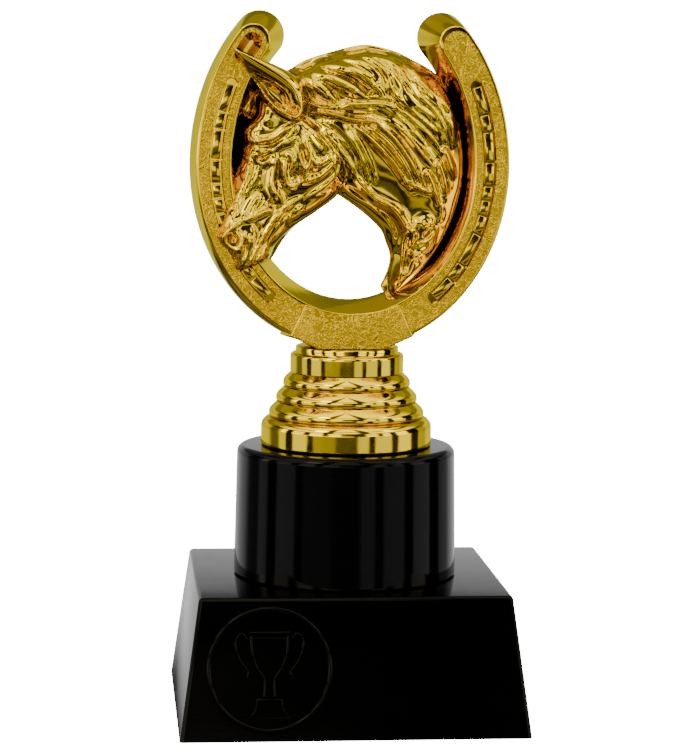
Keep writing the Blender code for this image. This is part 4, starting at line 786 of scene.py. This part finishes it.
def make_plinth():
    form = bmesh.new()
    bmesh.ops.create_cube(form, size=1.0)
    for vert in form.verts:
        top = vert.co.z > 0
        inset = PLINTH_INSET if top else 0.0
        vert.co.x = math.copysign(PLINTH_WIDTH / 2 - inset, vert.co.x)
        vert.co.y = math.copysign(PLINTH_DEPTH / 2 - inset, vert.co.y)
        vert.co.z = PLINTH_HEIGHT if top else 0.0
    rounded = form.edges.layers.float.new("bevel_weight_edge")
    for edge in form.edges:
        edge[rounded] = 1.0 if any(vert.co.z > 0 for vert in edge.verts) else 0.0
    plinth = add_object("plinth_body", mesh_of(form, "plinth_body"), gloss_black)
    return round_edges(plinth, PLINTH_EDGE, 6, "WEIGHT")


def face_matrix():
    lean = math.atan2(PLINTH_INSET, PLINTH_HEIGHT)
    middle = Vector((-MEDAL_OFFSET, -PLINTH_DEPTH / 2 + PLINTH_INSET / 2, PLINTH_HEIGHT / 2))
    return Matrix.Translation(middle) @ Matrix.Rotation(math.pi / 2 - lean, 4, "X")


def face_line(name, points, width, closed=False):
    """A raised line on the medallion's face, through points in shares of its radius."""
    curve = bpy.data.curves.new(name, "CURVE")
    curve.dimensions = "3D"
    curve.bevel_depth = width
    curve.bevel_resolution = 4
    curve.use_fill_caps = True
    spline = curve.splines.new("POLY")
    spline.points.add(len(points) - 1)
    spline.use_cyclic_u = closed
    for point, (x, y) in zip(spline.points, points):
        point.co = (x * MEDAL_RADIUS, y * MEDAL_RADIUS, -MEDAL_SINK, 1.0)
    line = add_object(name, curve, gloss_black)
    line.matrix_world = face_matrix()
    mesh = evaluated_mesh(line)
    mesh.transform(line.matrix_world)
    bpy.data.objects.remove(line)
    return add_object(name, mesh)


def medal_lines():
    rim = pairs(-0.34, 0.61, 0.34, 0.61)
    lip = pairs(-0.27, 0.52, 0.27, 0.52)
    bowl = pairs(-0.30, 0.56, -0.29, 0.30, -0.21, 0.04, -0.09, -0.15, -0.085, -0.43)
    handle = pairs(-0.38, 0.52, -0.46, 0.60, -0.55, 0.50, -0.55, 0.34, -0.48, 0.15, -0.36, -0.02,
        -0.37, -0.13)
    foot = pairs(-0.35, -0.79, -0.22, -0.66, -0.20, -0.49, 0.20, -0.49, 0.22, -0.66, 0.35, -0.79)
    around = [math.radians(k * 2.5) for k in range(144)]
    ring = [(math.cos(a), math.sin(a)) for a in around]
    made = [
        face_line("medal_ring", ring, MEDAL_BEAD, True),
        face_line("cup_rim", rim, MEDAL_LINE),
        face_line("cup_lip", lip, MEDAL_LINE * 0.6),
        face_line("cup_foot", foot, MEDAL_LINE, True),
    ]
    for word, side in (("left", 1), ("right", -1)):
        made.append(face_line(f"cup_bowl_{word}", smooth_through(bowl, 8) * (side, 1), MEDAL_LINE))
        made.append(face_line(f"cup_handle_{word}", smooth_through(handle, 8) * (side, 1), MEDAL_LINE * 0.9))
    return made


# Horseshoe


def oval_point(angle):
    turn = math.radians(angle)
    height = OVAL_RISE if math.sin(turn) > 0 else OVAL_DROP
    point = Vector((OVAL_HALF * math.cos(turn), height * math.sin(turn)))
    normal = Vector((height * math.cos(turn), OVAL_HALF * math.sin(turn))).normalized()
    return point, normal


def fold(angle):
    return angle if angle > -90 else -180 - angle


def half_band(angle):
    rise = min(max(angle / HORN_ANGLE, 0.0), 1.0)
    return SHOE_BAND / 2 * (1 - HORN_TAPER * rise * rise)


def band_outline(first, last, inner, outer, steps, end_steps):
    points = []
    for k in range(steps + 1):
        here = first + (last - first) * k / steps
        point, normal = oval_point(here)
        points.append(point + normal * outer(here))
    for angle, backwards in ((last, False), (first, True)):
        point, normal = oval_point(angle)
        reach = (outer(angle) + inner(angle)) / 2
        middle = point + normal * (outer(angle) - inner(angle)) / 2
        along = Vector((-normal.y, normal.x)) * (-1 if backwards else 1)
        across = -normal if backwards else normal
        for k in range(1, end_steps):
            turn = math.pi * k / end_steps
            points.append(middle + across * reach * math.cos(turn) + along * reach * math.sin(turn))
        if backwards:
            break
        for k in range(steps, -1, -1):
            here = first + (last - first) * k / steps
            point, normal = oval_point(here)
            points.append(point - normal * inner(here))
    return points


def stacked(name, levels, band_steps):
    """A solid through band outlines, each at its own Y, closed at both ends by short strips."""
    form = bmesh.new()
    rings = [[form.verts.new((p[0], y, p[1])) for p in outline] for y, outline in levels]
    join_rings(form, rings)
    for ring in (rings[0], rings[-1]):
        count = len(ring)
        ends = (count - 2 * (band_steps + 1)) // 2
        inner = [ring[band_steps + 1 + ends + band_steps - k] for k in range(band_steps + 1)]
        for k in range(band_steps):
            form.faces.new((ring[k], ring[k + 1], inner[k + 1], inner[k]))
        form.faces.new(ring[band_steps : band_steps + ends + 2])
        form.faces.new(ring[count - ends - 1 :] + [ring[0]])
    obj = add_object(name, closed_mesh(form, name), mirror_gold, engraved_gold)
    obj.location.z = OVAL_CENTRE
    return obj


def shoe_outline(reach, grow_in, grow_out):
    """The band's outline, wider by these lengths on the inner and outer side."""
    spread = (grow_in + grow_out) / 2
    lift = reach + math.degrees(min(spread, 0.0) / OVAL_RISE)
    return band_outline(
        -180 - HORN_ANGLE - lift,
        HORN_ANGLE + lift,
        lambda a: half_band(fold(a)) + grow_in,
        lambda a: half_band(fold(a)) + grow_out,
        SHOE_STEPS,
        HORN_STEPS,
    )


def cut_with(obj, cutter):
    modifier = obj.modifiers.new("cut", "BOOLEAN")
    modifier.operation = "DIFFERENCE"
    modifier.object = cutter
    modifier.solver = "EXACT"
    settle(obj)
    bpy.data.objects.remove(cutter)


def make_shoe():
    levels = []
    for share in (1.0, 0.85, 0.5, 0.0):
        levels.append((SHOE_EDGE * (1 - share), -SHOE_EDGE * (1 - math.sqrt(1 - share * share))))
    front = [(-SHOE_HALF_DEPTH + depth, shoe_outline(0.0, inset, inset)) for depth, inset in levels]
    middle = []
    for share in (-0.06, -0.03, 0.0, 0.03, 0.06):
        out = 1 - abs(share) * 0.5 - (0.012 if share else 0.0)
        outline = shoe_outline(HORN_REACH * out, SHOE_SLOPE_IN * out, SHOE_SLOPE_OUT * out)
        middle.append((SHOE_HALF_DEPTH * share, outline))
    back = [(-y, outline) for y, outline in reversed(front)]
    shoe = stacked("horseshoe", front + middle + back, SHOE_STEPS)
    for side in (-1, 1):
        recess = shoe_outline(0.0, -SHOE_RIM, -SHOE_RIM)
        floor = side * (SHOE_HALF_DEPTH - SHOE_RIM_RISE)
        cut_with(shoe, stacked("recess", [(floor, recess), (floor + side * MM, recess)], SHOE_STEPS))
    return shoe


def groove_outline(side, half_width):
    low, high = GROOVE_BOTTOM, GROOVE_TOP
    if side == "left":
        low, high = -180 - GROOVE_TOP, -180 - GROOVE_BOTTOM

    def inner(angle):
        return half_width - GROOVE_OFFSET

    def outer(angle):
        return half_width + GROOVE_OFFSET

    return band_outline(low, high, inner, outer, GROOVE_STEPS, GROOVE_END_STEPS)


def cut_grooves(shoe):
    floor = SHOE_HALF_DEPTH - GROOVE_DEPTH
    for side in ("right", "left"):
        for face in (-1, 1):
            levels = [
                (face * floor, groove_outline(side, GROOVE_WIDTH / 2 - GROOVE_DRAFT)),
                (face * (SHOE_HALF_DEPTH - GROOVE_LIP), groove_outline(side, GROOVE_WIDTH / 2)),
                (face * (SHOE_HALF_DEPTH + MM), groove_outline(side, GROOVE_WIDTH / 2 + GROOVE_LIP)),
            ]
            cut_with(shoe, stacked("groove", levels, GROOVE_STEPS))


def cut_pocket(shoe):
    """The smooth hollow in the left horn's front face, with the ear's tip in front of it."""

    def outline(half):
        def reach(angle):
            return half

        return band_outline(POCKET_START, POCKET_END, reach, reach, POCKET_STEPS, GROOVE_END_STEPS)

    levels = [
        (-SHOE_HALF_DEPTH - MM, outline(POCKET_REACH)),
        (-SHOE_HALF_DEPTH + POCKET_DEPTH, outline(POCKET_FLOOR)),
    ]
    cut_with(shoe, stacked("pocket", levels, POCKET_STEPS))


def oval_angle_at(share):
    samples = np.linspace(GROOVE_TOP, GROOVE_BOTTOM, 200)
    points = np.array([oval_point(a)[0] for a in samples])
    run = np.concatenate([[0.0], np.cumsum(np.linalg.norm(np.diff(points, axis=0), axis=1))])
    return float(np.interp(share * run[-1], run, samples)), run[-1]


def make_nails():
    """The nail heads: blocks with rounded edges that stand in the grooves."""
    form = bmesh.new()
    total = sum(NAIL_SHARES)
    floor = SHOE_HALF_DEPTH - GROOVE_DEPTH
    start = 0
    rng = np.random.default_rng(5)
    for length in NAIL_SHARES:
        angle, run = oval_angle_at((start + length / 2) / total)
        start += length
        point, normal = oval_point(angle)
        place = point + normal * GROOVE_OFFSET
        size = (NAIL_WIDTH, 2 * NAIL_HEIGHT, length / total * run - NAIL_GAP)
        lean = math.atan2(normal.y, normal.x)
        for mirror in (1, -1):
            tip, turn = rng.uniform(-NAIL_TILT, NAIL_TILT, 2)
            for side in (-1, 1):
                box = (
                    Matrix.Translation((mirror * place.x, side * floor, place.y))
                    @ Matrix.Rotation(-mirror * lean, 4, "Y")
                    @ Matrix.Rotation(tip, 4, "X")
                    @ Matrix.Rotation(turn, 4, "Z")
                    @ Matrix.Diagonal((*size, 1.0))
                )
                bmesh.ops.create_cube(form, size=1.0, matrix=box)
    nails = add_object("nail_heads", mesh_of(form, "nail_heads"), mirror_gold)
    nails.location.z = OVAL_CENTRE
    return round_edges(nails, NAIL_EDGE, 3)


def make_block():
    foot = BLOCK_BASE - OVAL_CENTRE
    front = SHOE_HALF_DEPTH + BLOCK_PROUD
    corner_slope = (BLOCK_SIDE_HALF - BLOCK_FOOT_HALF) / BLOCK_SIDE_RISE

    def outline(slope):
        top = foot + BLOCK_HEIGHT
        half = BLOCK_TOP_HALF + slope * 0.4
        left = [
            (-BLOCK_FOOT_HALF + corner_slope * BLOCK_TRIM, foot - BLOCK_TRIM),
            (-BLOCK_SIDE_HALF - slope, foot + BLOCK_SIDE_RISE - slope * 0.4),
            (-half, top + slope * 1.2),
        ]
        arch = []
        for k in range(1, BLOCK_ARCH_STEPS):
            share = 2 * k / BLOCK_ARCH_STEPS - 1
            arch.append((half * share, top - (1 - share**2) * BLOCK_HEIGHT * BLOCK_SAG + slope * 1.2))
        return left + arch + [(-x, z) for x, z in reversed(left)]

    form = bmesh.new()
    rings = []
    for y, slope in ((-front, 0.0), (0.0, BLOCK_SLOPE), (front, 0.0)):
        rings.append([form.verts.new((x, y, z)) for x, z in outline(slope)])
    join_rings(form, rings)
    form.faces.new(rings[0])
    form.faces.new(rings[-1])
    block = add_object("keystone_block", closed_mesh(form, "block"), mirror_gold, engraved_gold)
    block.location.z = OVAL_CENTRE
    return round_edges(block, BLOCK_EDGE, 3)


def level_cut():
    """The box that trims the figure level with the foot of its block."""
    place = Matrix.Translation((0.0, 0.0, BLOCK_BASE - TRIM_SIZE[2] / 2))
    return add_object("level_cut", box_mesh("level_cut", place @ Matrix.Diagonal((*TRIM_SIZE, 1.0))))


def engrave_flats(obj, level):
    """Gives the flat faces at the front and back the engraved material."""
    for face in obj.data.polygons:
        flat = abs(face.normal.y) > 0.98 and abs(abs(face.center.y) - level) < 0.1 * MM
        face.material_index = 1 if flat else 0


# The horse's skin


def field_over(relief, gap, reach):
    levels = np.arange(-reach, reach + relief.step, relief.step)
    slope_x, slope_z = np.gradient(relief.height, relief.step)
    steep = np.sqrt(1 + slope_x**2 + slope_z**2)
    over = (np.abs(levels)[None, :, None] - relief.height[:, None, :]) / steep[:, None, :]
    side = gap[:, None, :] + EDGE_ROUND
    over = over + EDGE_ROUND
    outer = np.hypot(np.maximum(side, 0), np.maximum(over, 0))
    return outer + np.minimum(np.maximum(side, over), 0) - EDGE_ROUND, levels


def skin(field):
    """Faces with four corners around the field's zero level, one corner in each grid cell it crosses."""
    inside = field < 0
    corners = [(i, j, k) for i in (0, 1) for j in (0, 1) for k in (0, 1)]
    shape = tuple(n - 1 for n in field.shape)

    def shifted(array, offset):
        return array[tuple(slice(o, o + n) for o, n in zip(offset, shape))]

    count = sum(shifted(inside, corner).astype(np.int8) for corner in corners)
    mixed = (count > 0) & (count < 8)
    number = np.full(shape, -1)
    number[mixed] = np.arange(mixed.sum())
    cells = np.argwhere(mixed)
    values = {corner: shifted(field, corner)[mixed] for corner in corners}
    total = np.zeros((len(cells), 3))
    crossings = np.zeros(len(cells))
    for a in corners:
        for axis in range(3):
            if a[axis]:
                continue
            b = tuple(1 if k == axis else a[k] for k in range(3))
            crossed = (values[a] < 0) != (values[b] < 0)
            span = np.where(crossed, values[a] - values[b], 1)
            share = np.where(crossed, values[a] / span, 0)
            place = np.array(a, float) + np.eye(3)[axis] * share[:, None]
            total += place * crossed[:, None]
            crossings += crossed
    points = cells + total / crossings[:, None]
    faces = []
    for axis in range(3):
        one, two = [k for k in range(3) if k != axis]
        low = [slice(None)] * 3
        high = [slice(None)] * 3
        low[axis] = slice(0, -1)
        high[axis] = slice(1, None)
        change = inside[tuple(low)] != inside[tuple(high)]
        spots = np.argwhere(change)
        spots = spots[(spots[:, one] > 0) & (spots[:, two] > 0)]
        spots = spots[(spots[:, one] < field.shape[one] - 1) & (spots[:, two] < field.shape[two] - 1)]
        around = []
        for d_one, d_two in ((-1, -1), (0, -1), (0, 0), (-1, 0)):
            cell = spots.copy()
            cell[:, one] += d_one
            cell[:, two] += d_two
            around.append(number[tuple(cell.T)])
        quads = np.column_stack(around)
        flip = inside[tuple(spots.T)]
        if axis == 1:
            flip = ~flip
        quads[~flip] = quads[~flip][:, ::-1]
        faces.append(quads)
    return points, np.concatenate(faces)


def soften(relief, radius):
    """Blurs the relief a little along both axes."""
    reach = math.ceil(3 * radius / relief.step)
    kernel = np.exp(-0.5 * (np.arange(-reach, reach + 1) * relief.step / radius) ** 2)
    kernel /= kernel.sum()
    for axis in (0, 1):
        blurred = [np.convolve(line, kernel, "same") for line in np.moveaxis(relief.height, axis, -1)]
        relief.height = np.moveaxis(np.array(blurred), -1, axis)


def make_horse():
    relief, gap = carve(CARVE_STEP, CARVE_COMB)
    soften(relief, CARVE_SOFT)
    field, levels = field_over(relief, gap, CARVE_REACH)
    points, faces = skin(field)
    points = points * relief.step + (relief.xs[0], levels[0], relief.zs[0])
    points *= (CARVE_UNIT, CARVE_DEPTH_UNIT, CARVE_UNIT)
    mesh = bpy.data.meshes.new("horse_head")
    mesh.from_pydata(points.tolist(), [], faces.tolist())
    horse = add_object("horse_head", mesh, mirror_gold)
    horse.location.z = OVAL_CENTRE
    thin = horse.modifiers.new("thin", "DECIMATE")
    thin.ratio = HORSE_TRIANGLES / sum(len(face.vertices) - 2 for face in mesh.polygons)
    return settle(horse)


def make_figure():
    shoe = make_shoe()
    cut_grooves(shoe)
    cut_pocket(shoe)
    cut_with(shoe, level_cut())
    engrave_flats(shoe, SHOE_HALF_DEPTH - SHOE_RIM_RISE)
    dress(shoe, "horse_and_shoe")
    block = make_block()
    cut_with(block, level_cut())
    engrave_flats(block, SHOE_HALF_DEPTH + BLOCK_PROUD)
    dress(block, "horse_and_shoe")
    dress(make_nails(), "horse_and_shoe")
    dress(make_horse(), "horse_and_shoe", 60)


def make_stand():
    bell = turned("bell_turned", bell_profile(), mirror_gold)
    bell.location.z = BELL_BASE
    dress(bell, "stepped_bell", 40)
    riser = turned("riser_turned", riser_profile(), gloss_black)
    riser.location.z = RISER_BASE
    dress(riser, "round_riser", 40)
    dress(make_plinth(), "plinth", 40)
    for line in medal_lines():
        dress(line, "plinth", 60)


# Studio

# What the gold mirrors. Each part of the room is a brightness by degrees from the front, to the right,
# times a brightness by the height of the line of sight, from -1 straight down to 1 straight up
WARM = (1.0, 0.90, 0.70)
PANELS = pairs(-108, 0, -104, 0.03, -102, 4, -95, 4, -93, 0.02, -84, 0.02, -81, 4, -66, 4, -63, 0.02,
    -56, 0.02, -53, 4.8, -39, 5.2, -36, 0.02, -30, 0.02, -27, 4.6, -14, 4.2, -10, 0.6, 0, 0.15, 8, 0.03,
    20, 0.03, 24, 3.4, 37, 3.6, 40, 0.02, 44, 0.02, 47, 3.8, 56, 3.8, 59, 0.02, 66, 0.02, 69, 4.4,
    84, 4.4, 88, 0.02, 108, 0)
PANEL_HEIGHTS = pairs(-0.04, 0, -0.01, 1, 0.14, 1, 0.16, 0.08, 0.2, 0.08, 0.22, 1, 0.37, 1, 0.39, 0.02)
BAND = pairs(-91, 0, -90, 0.03, -83, 0.03, -81, 1.6, -60, 1.6, -58, 0.03, -51, 0.03, -49, 0.6, -22, 0.5,
    -17, 0.14, 9, 0.12, 12, 1.3, 25, 1.3, 27, 0.03, 34, 0.03, 36, 1.4, 58, 1.4, 60, 0.03, 69, 0.03,
    71, 1.8, 92, 1.8, 94, 0.03, 107, 0.03, 111, 0)
BAND_HEIGHTS = pairs(-0.2, 0, -0.185, 1, -0.04, 1, -0.01, 0)
PATCH = pairs(-62, 0, -58, 1.3, 3, 1.8, 6, 0)
PATCH_HEIGHTS = pairs(-0.085, 0, -0.075, 1, 0.01, 1, 0.035, 0)
FLOOR = pairs(-180, 0.4, -108, 0.3, -104, 0.8, -70, 0.8, -66, 0.1, -30, 0.1, -26, 0.9, 20, 0.9, 24, 0.1,
    44, 0.1, 48, 0.9, 104, 0.7, 108, 0.3, 180, 0.4)
FLOOR_HEIGHTS = pairs(-1, 0.1, -0.8, 0.1, -0.76, 0.9, -0.66, 0.9, -0.62, 0.02, -0.54, 0.02, -0.5, 1,
    -0.41, 1, -0.38, 0.05, -0.32, 0.05, -0.3, 0.7, -0.26, 0.7, -0.24, 0.05, -0.19, 0)
BACK = pairs(-168, 0.94, -160, 1.2, -135, 1.1, -125, 0.18, -110, 0.18, -106, 1.2, -96, 1.2, -93, 0,
    108, 0, 111, 0.7, 126, 0.6, 134, 1.2, 160, 1.2, 168, 0.94)
BACK_HEIGHTS = pairs(-0.22, 0, -0.19, 1.1, -0.1, 1.1, -0.02, 0.9, 0.12, 0.9, 0.16, 1, 0.28, 1,
    0.33, 0.3, 1, 0.2)
CEILING = pairs(-180, 0.2, -130, 0.2, -110, 1.8, -70, 3.2, -42, 3.2, -38, 0.08, -26, 0.08, -22, 3.2,
    12, 3.2, 16, 0.08, 28, 0.08, 32, 3, 70, 2.8, 110, 1.8, 130, 0.2, 180, 0.2)
CEILING_HEIGHTS = pairs(0.46, 0, 0.48, 1, 0.66, 1, 0.68, 0.05, 0.74, 0.05, 0.76, 1)
ROOM = ((PANELS, PANEL_HEIGHTS, WARM), (BAND, BAND_HEIGHTS, NEUTRAL), (PATCH, PATCH_HEIGHTS, WARM),
        (FLOOR, FLOOR_HEIGHTS, WARM), (BACK, BACK_HEIGHTS, NEUTRAL), (CEILING, CEILING_HEIGHTS, WARM))


# The camera fitted to the photograph: its place, its angles in radians and its focal length in pixels
CAMERA_PLACE = (-0.06471, -0.67087, 0.16720)
CAMERA_YAW, CAMERA_PITCH, CAMERA_ROLL = -0.09513, -0.11592, -0.01188
FOCAL_PIXELS = 2561.55
PHOTO_HEIGHT = 750
SENSOR = 36.0
LIGHT_TARGET = (0, 0, 0.14)
BACKDROP_GLOW = 16.0


def make_camera():
    turn = Matrix.Rotation(CAMERA_YAW, 4, "Z") @ Matrix.Rotation(CAMERA_PITCH, 4, "X")
    turn = turn @ Matrix.Rotation(CAMERA_ROLL, 4, "Y")
    data = bpy.data.cameras.new("photo_camera")
    data.sensor_width = SENSOR
    data.lens = FOCAL_PIXELS / PHOTO_HEIGHT * SENSOR
    data.clip_start = 0.05
    camera = bpy.data.objects.new("photo_camera", data)
    studio.objects.link(camera)
    look = turn @ Matrix.Rotation(math.pi / 2, 4, "X")
    camera.matrix_world = Matrix.Translation(CAMERA_PLACE) @ look
    bpy.context.scene.camera = camera


def make_light(name, place, size, power):
    data = bpy.data.lights.new(name, "AREA")
    data.shape = "RECTANGLE"
    data.size, data.size_y = size
    data.energy = power
    light = bpy.data.objects.new(name, data)
    studio.objects.link(light)
    aim = Vector(LIGHT_TARGET) - Vector(place)
    light.matrix_world = Matrix.Translation(place) @ aim.to_track_quat("-Z", "Y").to_matrix().to_4x4()


def make_world():
    """A room of panels with dark gaps between them, a pale wall behind and a pale ceiling."""
    world = bpy.data.worlds.new("studio")
    world.use_nodes = True
    room = Nodes(world.node_tree)
    place = room.node("TexCoord").outputs["Generated"]
    split = room.node("SeparateXYZ", {"Vector": place}).outputs
    turn = room.math("ARCTAN2", split["X"], room.math("MULTIPLY", split["Y"], -1.0))
    around = room.math("ADD", room.math("DIVIDE", turn, 2 * math.pi), 0.5)
    height = room.math("ADD", room.math("MULTIPLY", split["Z"], 0.5), 0.5)
    total = None
    for directions, heights, tint in ROOM:
        across = room.ramp(around, [(degrees / 360 + 0.5, level) for degrees, level in directions], tint)
        fade = room.ramp(height, [(z / 2 + 0.5, level) for z, level in heights])
        lit = room.mix("MULTIPLY", across, fade)
        total = room.mix("ADD", total, lit) if total else lit
    room.tree.links.new(total, room.tree.nodes["Background"].inputs["Color"])
    bpy.context.scene.world = world


def only_seen(obj):
    """Keeps a white surface out of the trophy's reflections and light."""
    obj.visible_diffuse = False
    obj.visible_glossy = False
    obj.visible_transmission = False
    obj.visible_shadow = False


def make_surroundings():
    pale = Shader("pale_floor")
    pale.feed("Base Color", pale.blend(pale.noise(4.0), (0.90, 0.90, 0.90), (0.93, 0.93, 0.93)))
    pale.feed("Roughness", 0.7)
    pale.feed("Emission Color", (1.0, 1.0, 1.0, 1.0))
    pale.feed("Emission Strength", BACKDROP_GLOW)
    form = bmesh.new()
    bmesh.ops.create_icosphere(form, subdivisions=5, radius=3.0)
    for vert in form.verts:
        vert.co.z = max(vert.co.z, -0.0005)
    sweep = mesh_of(form, "sweep")
    sweep.materials.append(pale.material)
    sweep.shade_smooth()
    room = bpy.data.objects.new("pale_floor_and_backdrop", sweep)
    studio.objects.link(room)
    only_seen(room)


def make_studio():
    make_camera()
    make_world()
    make_surroundings()
    make_light("upper_left_softbox", (-0.62, -0.62, 0.95), (0.30, 0.30), 2.6)
    make_light("upper_right_softbox", (0.75, -0.35, 0.80), (0.22, 0.30), 0.7)


make_figure()
make_stand()
make_studio()
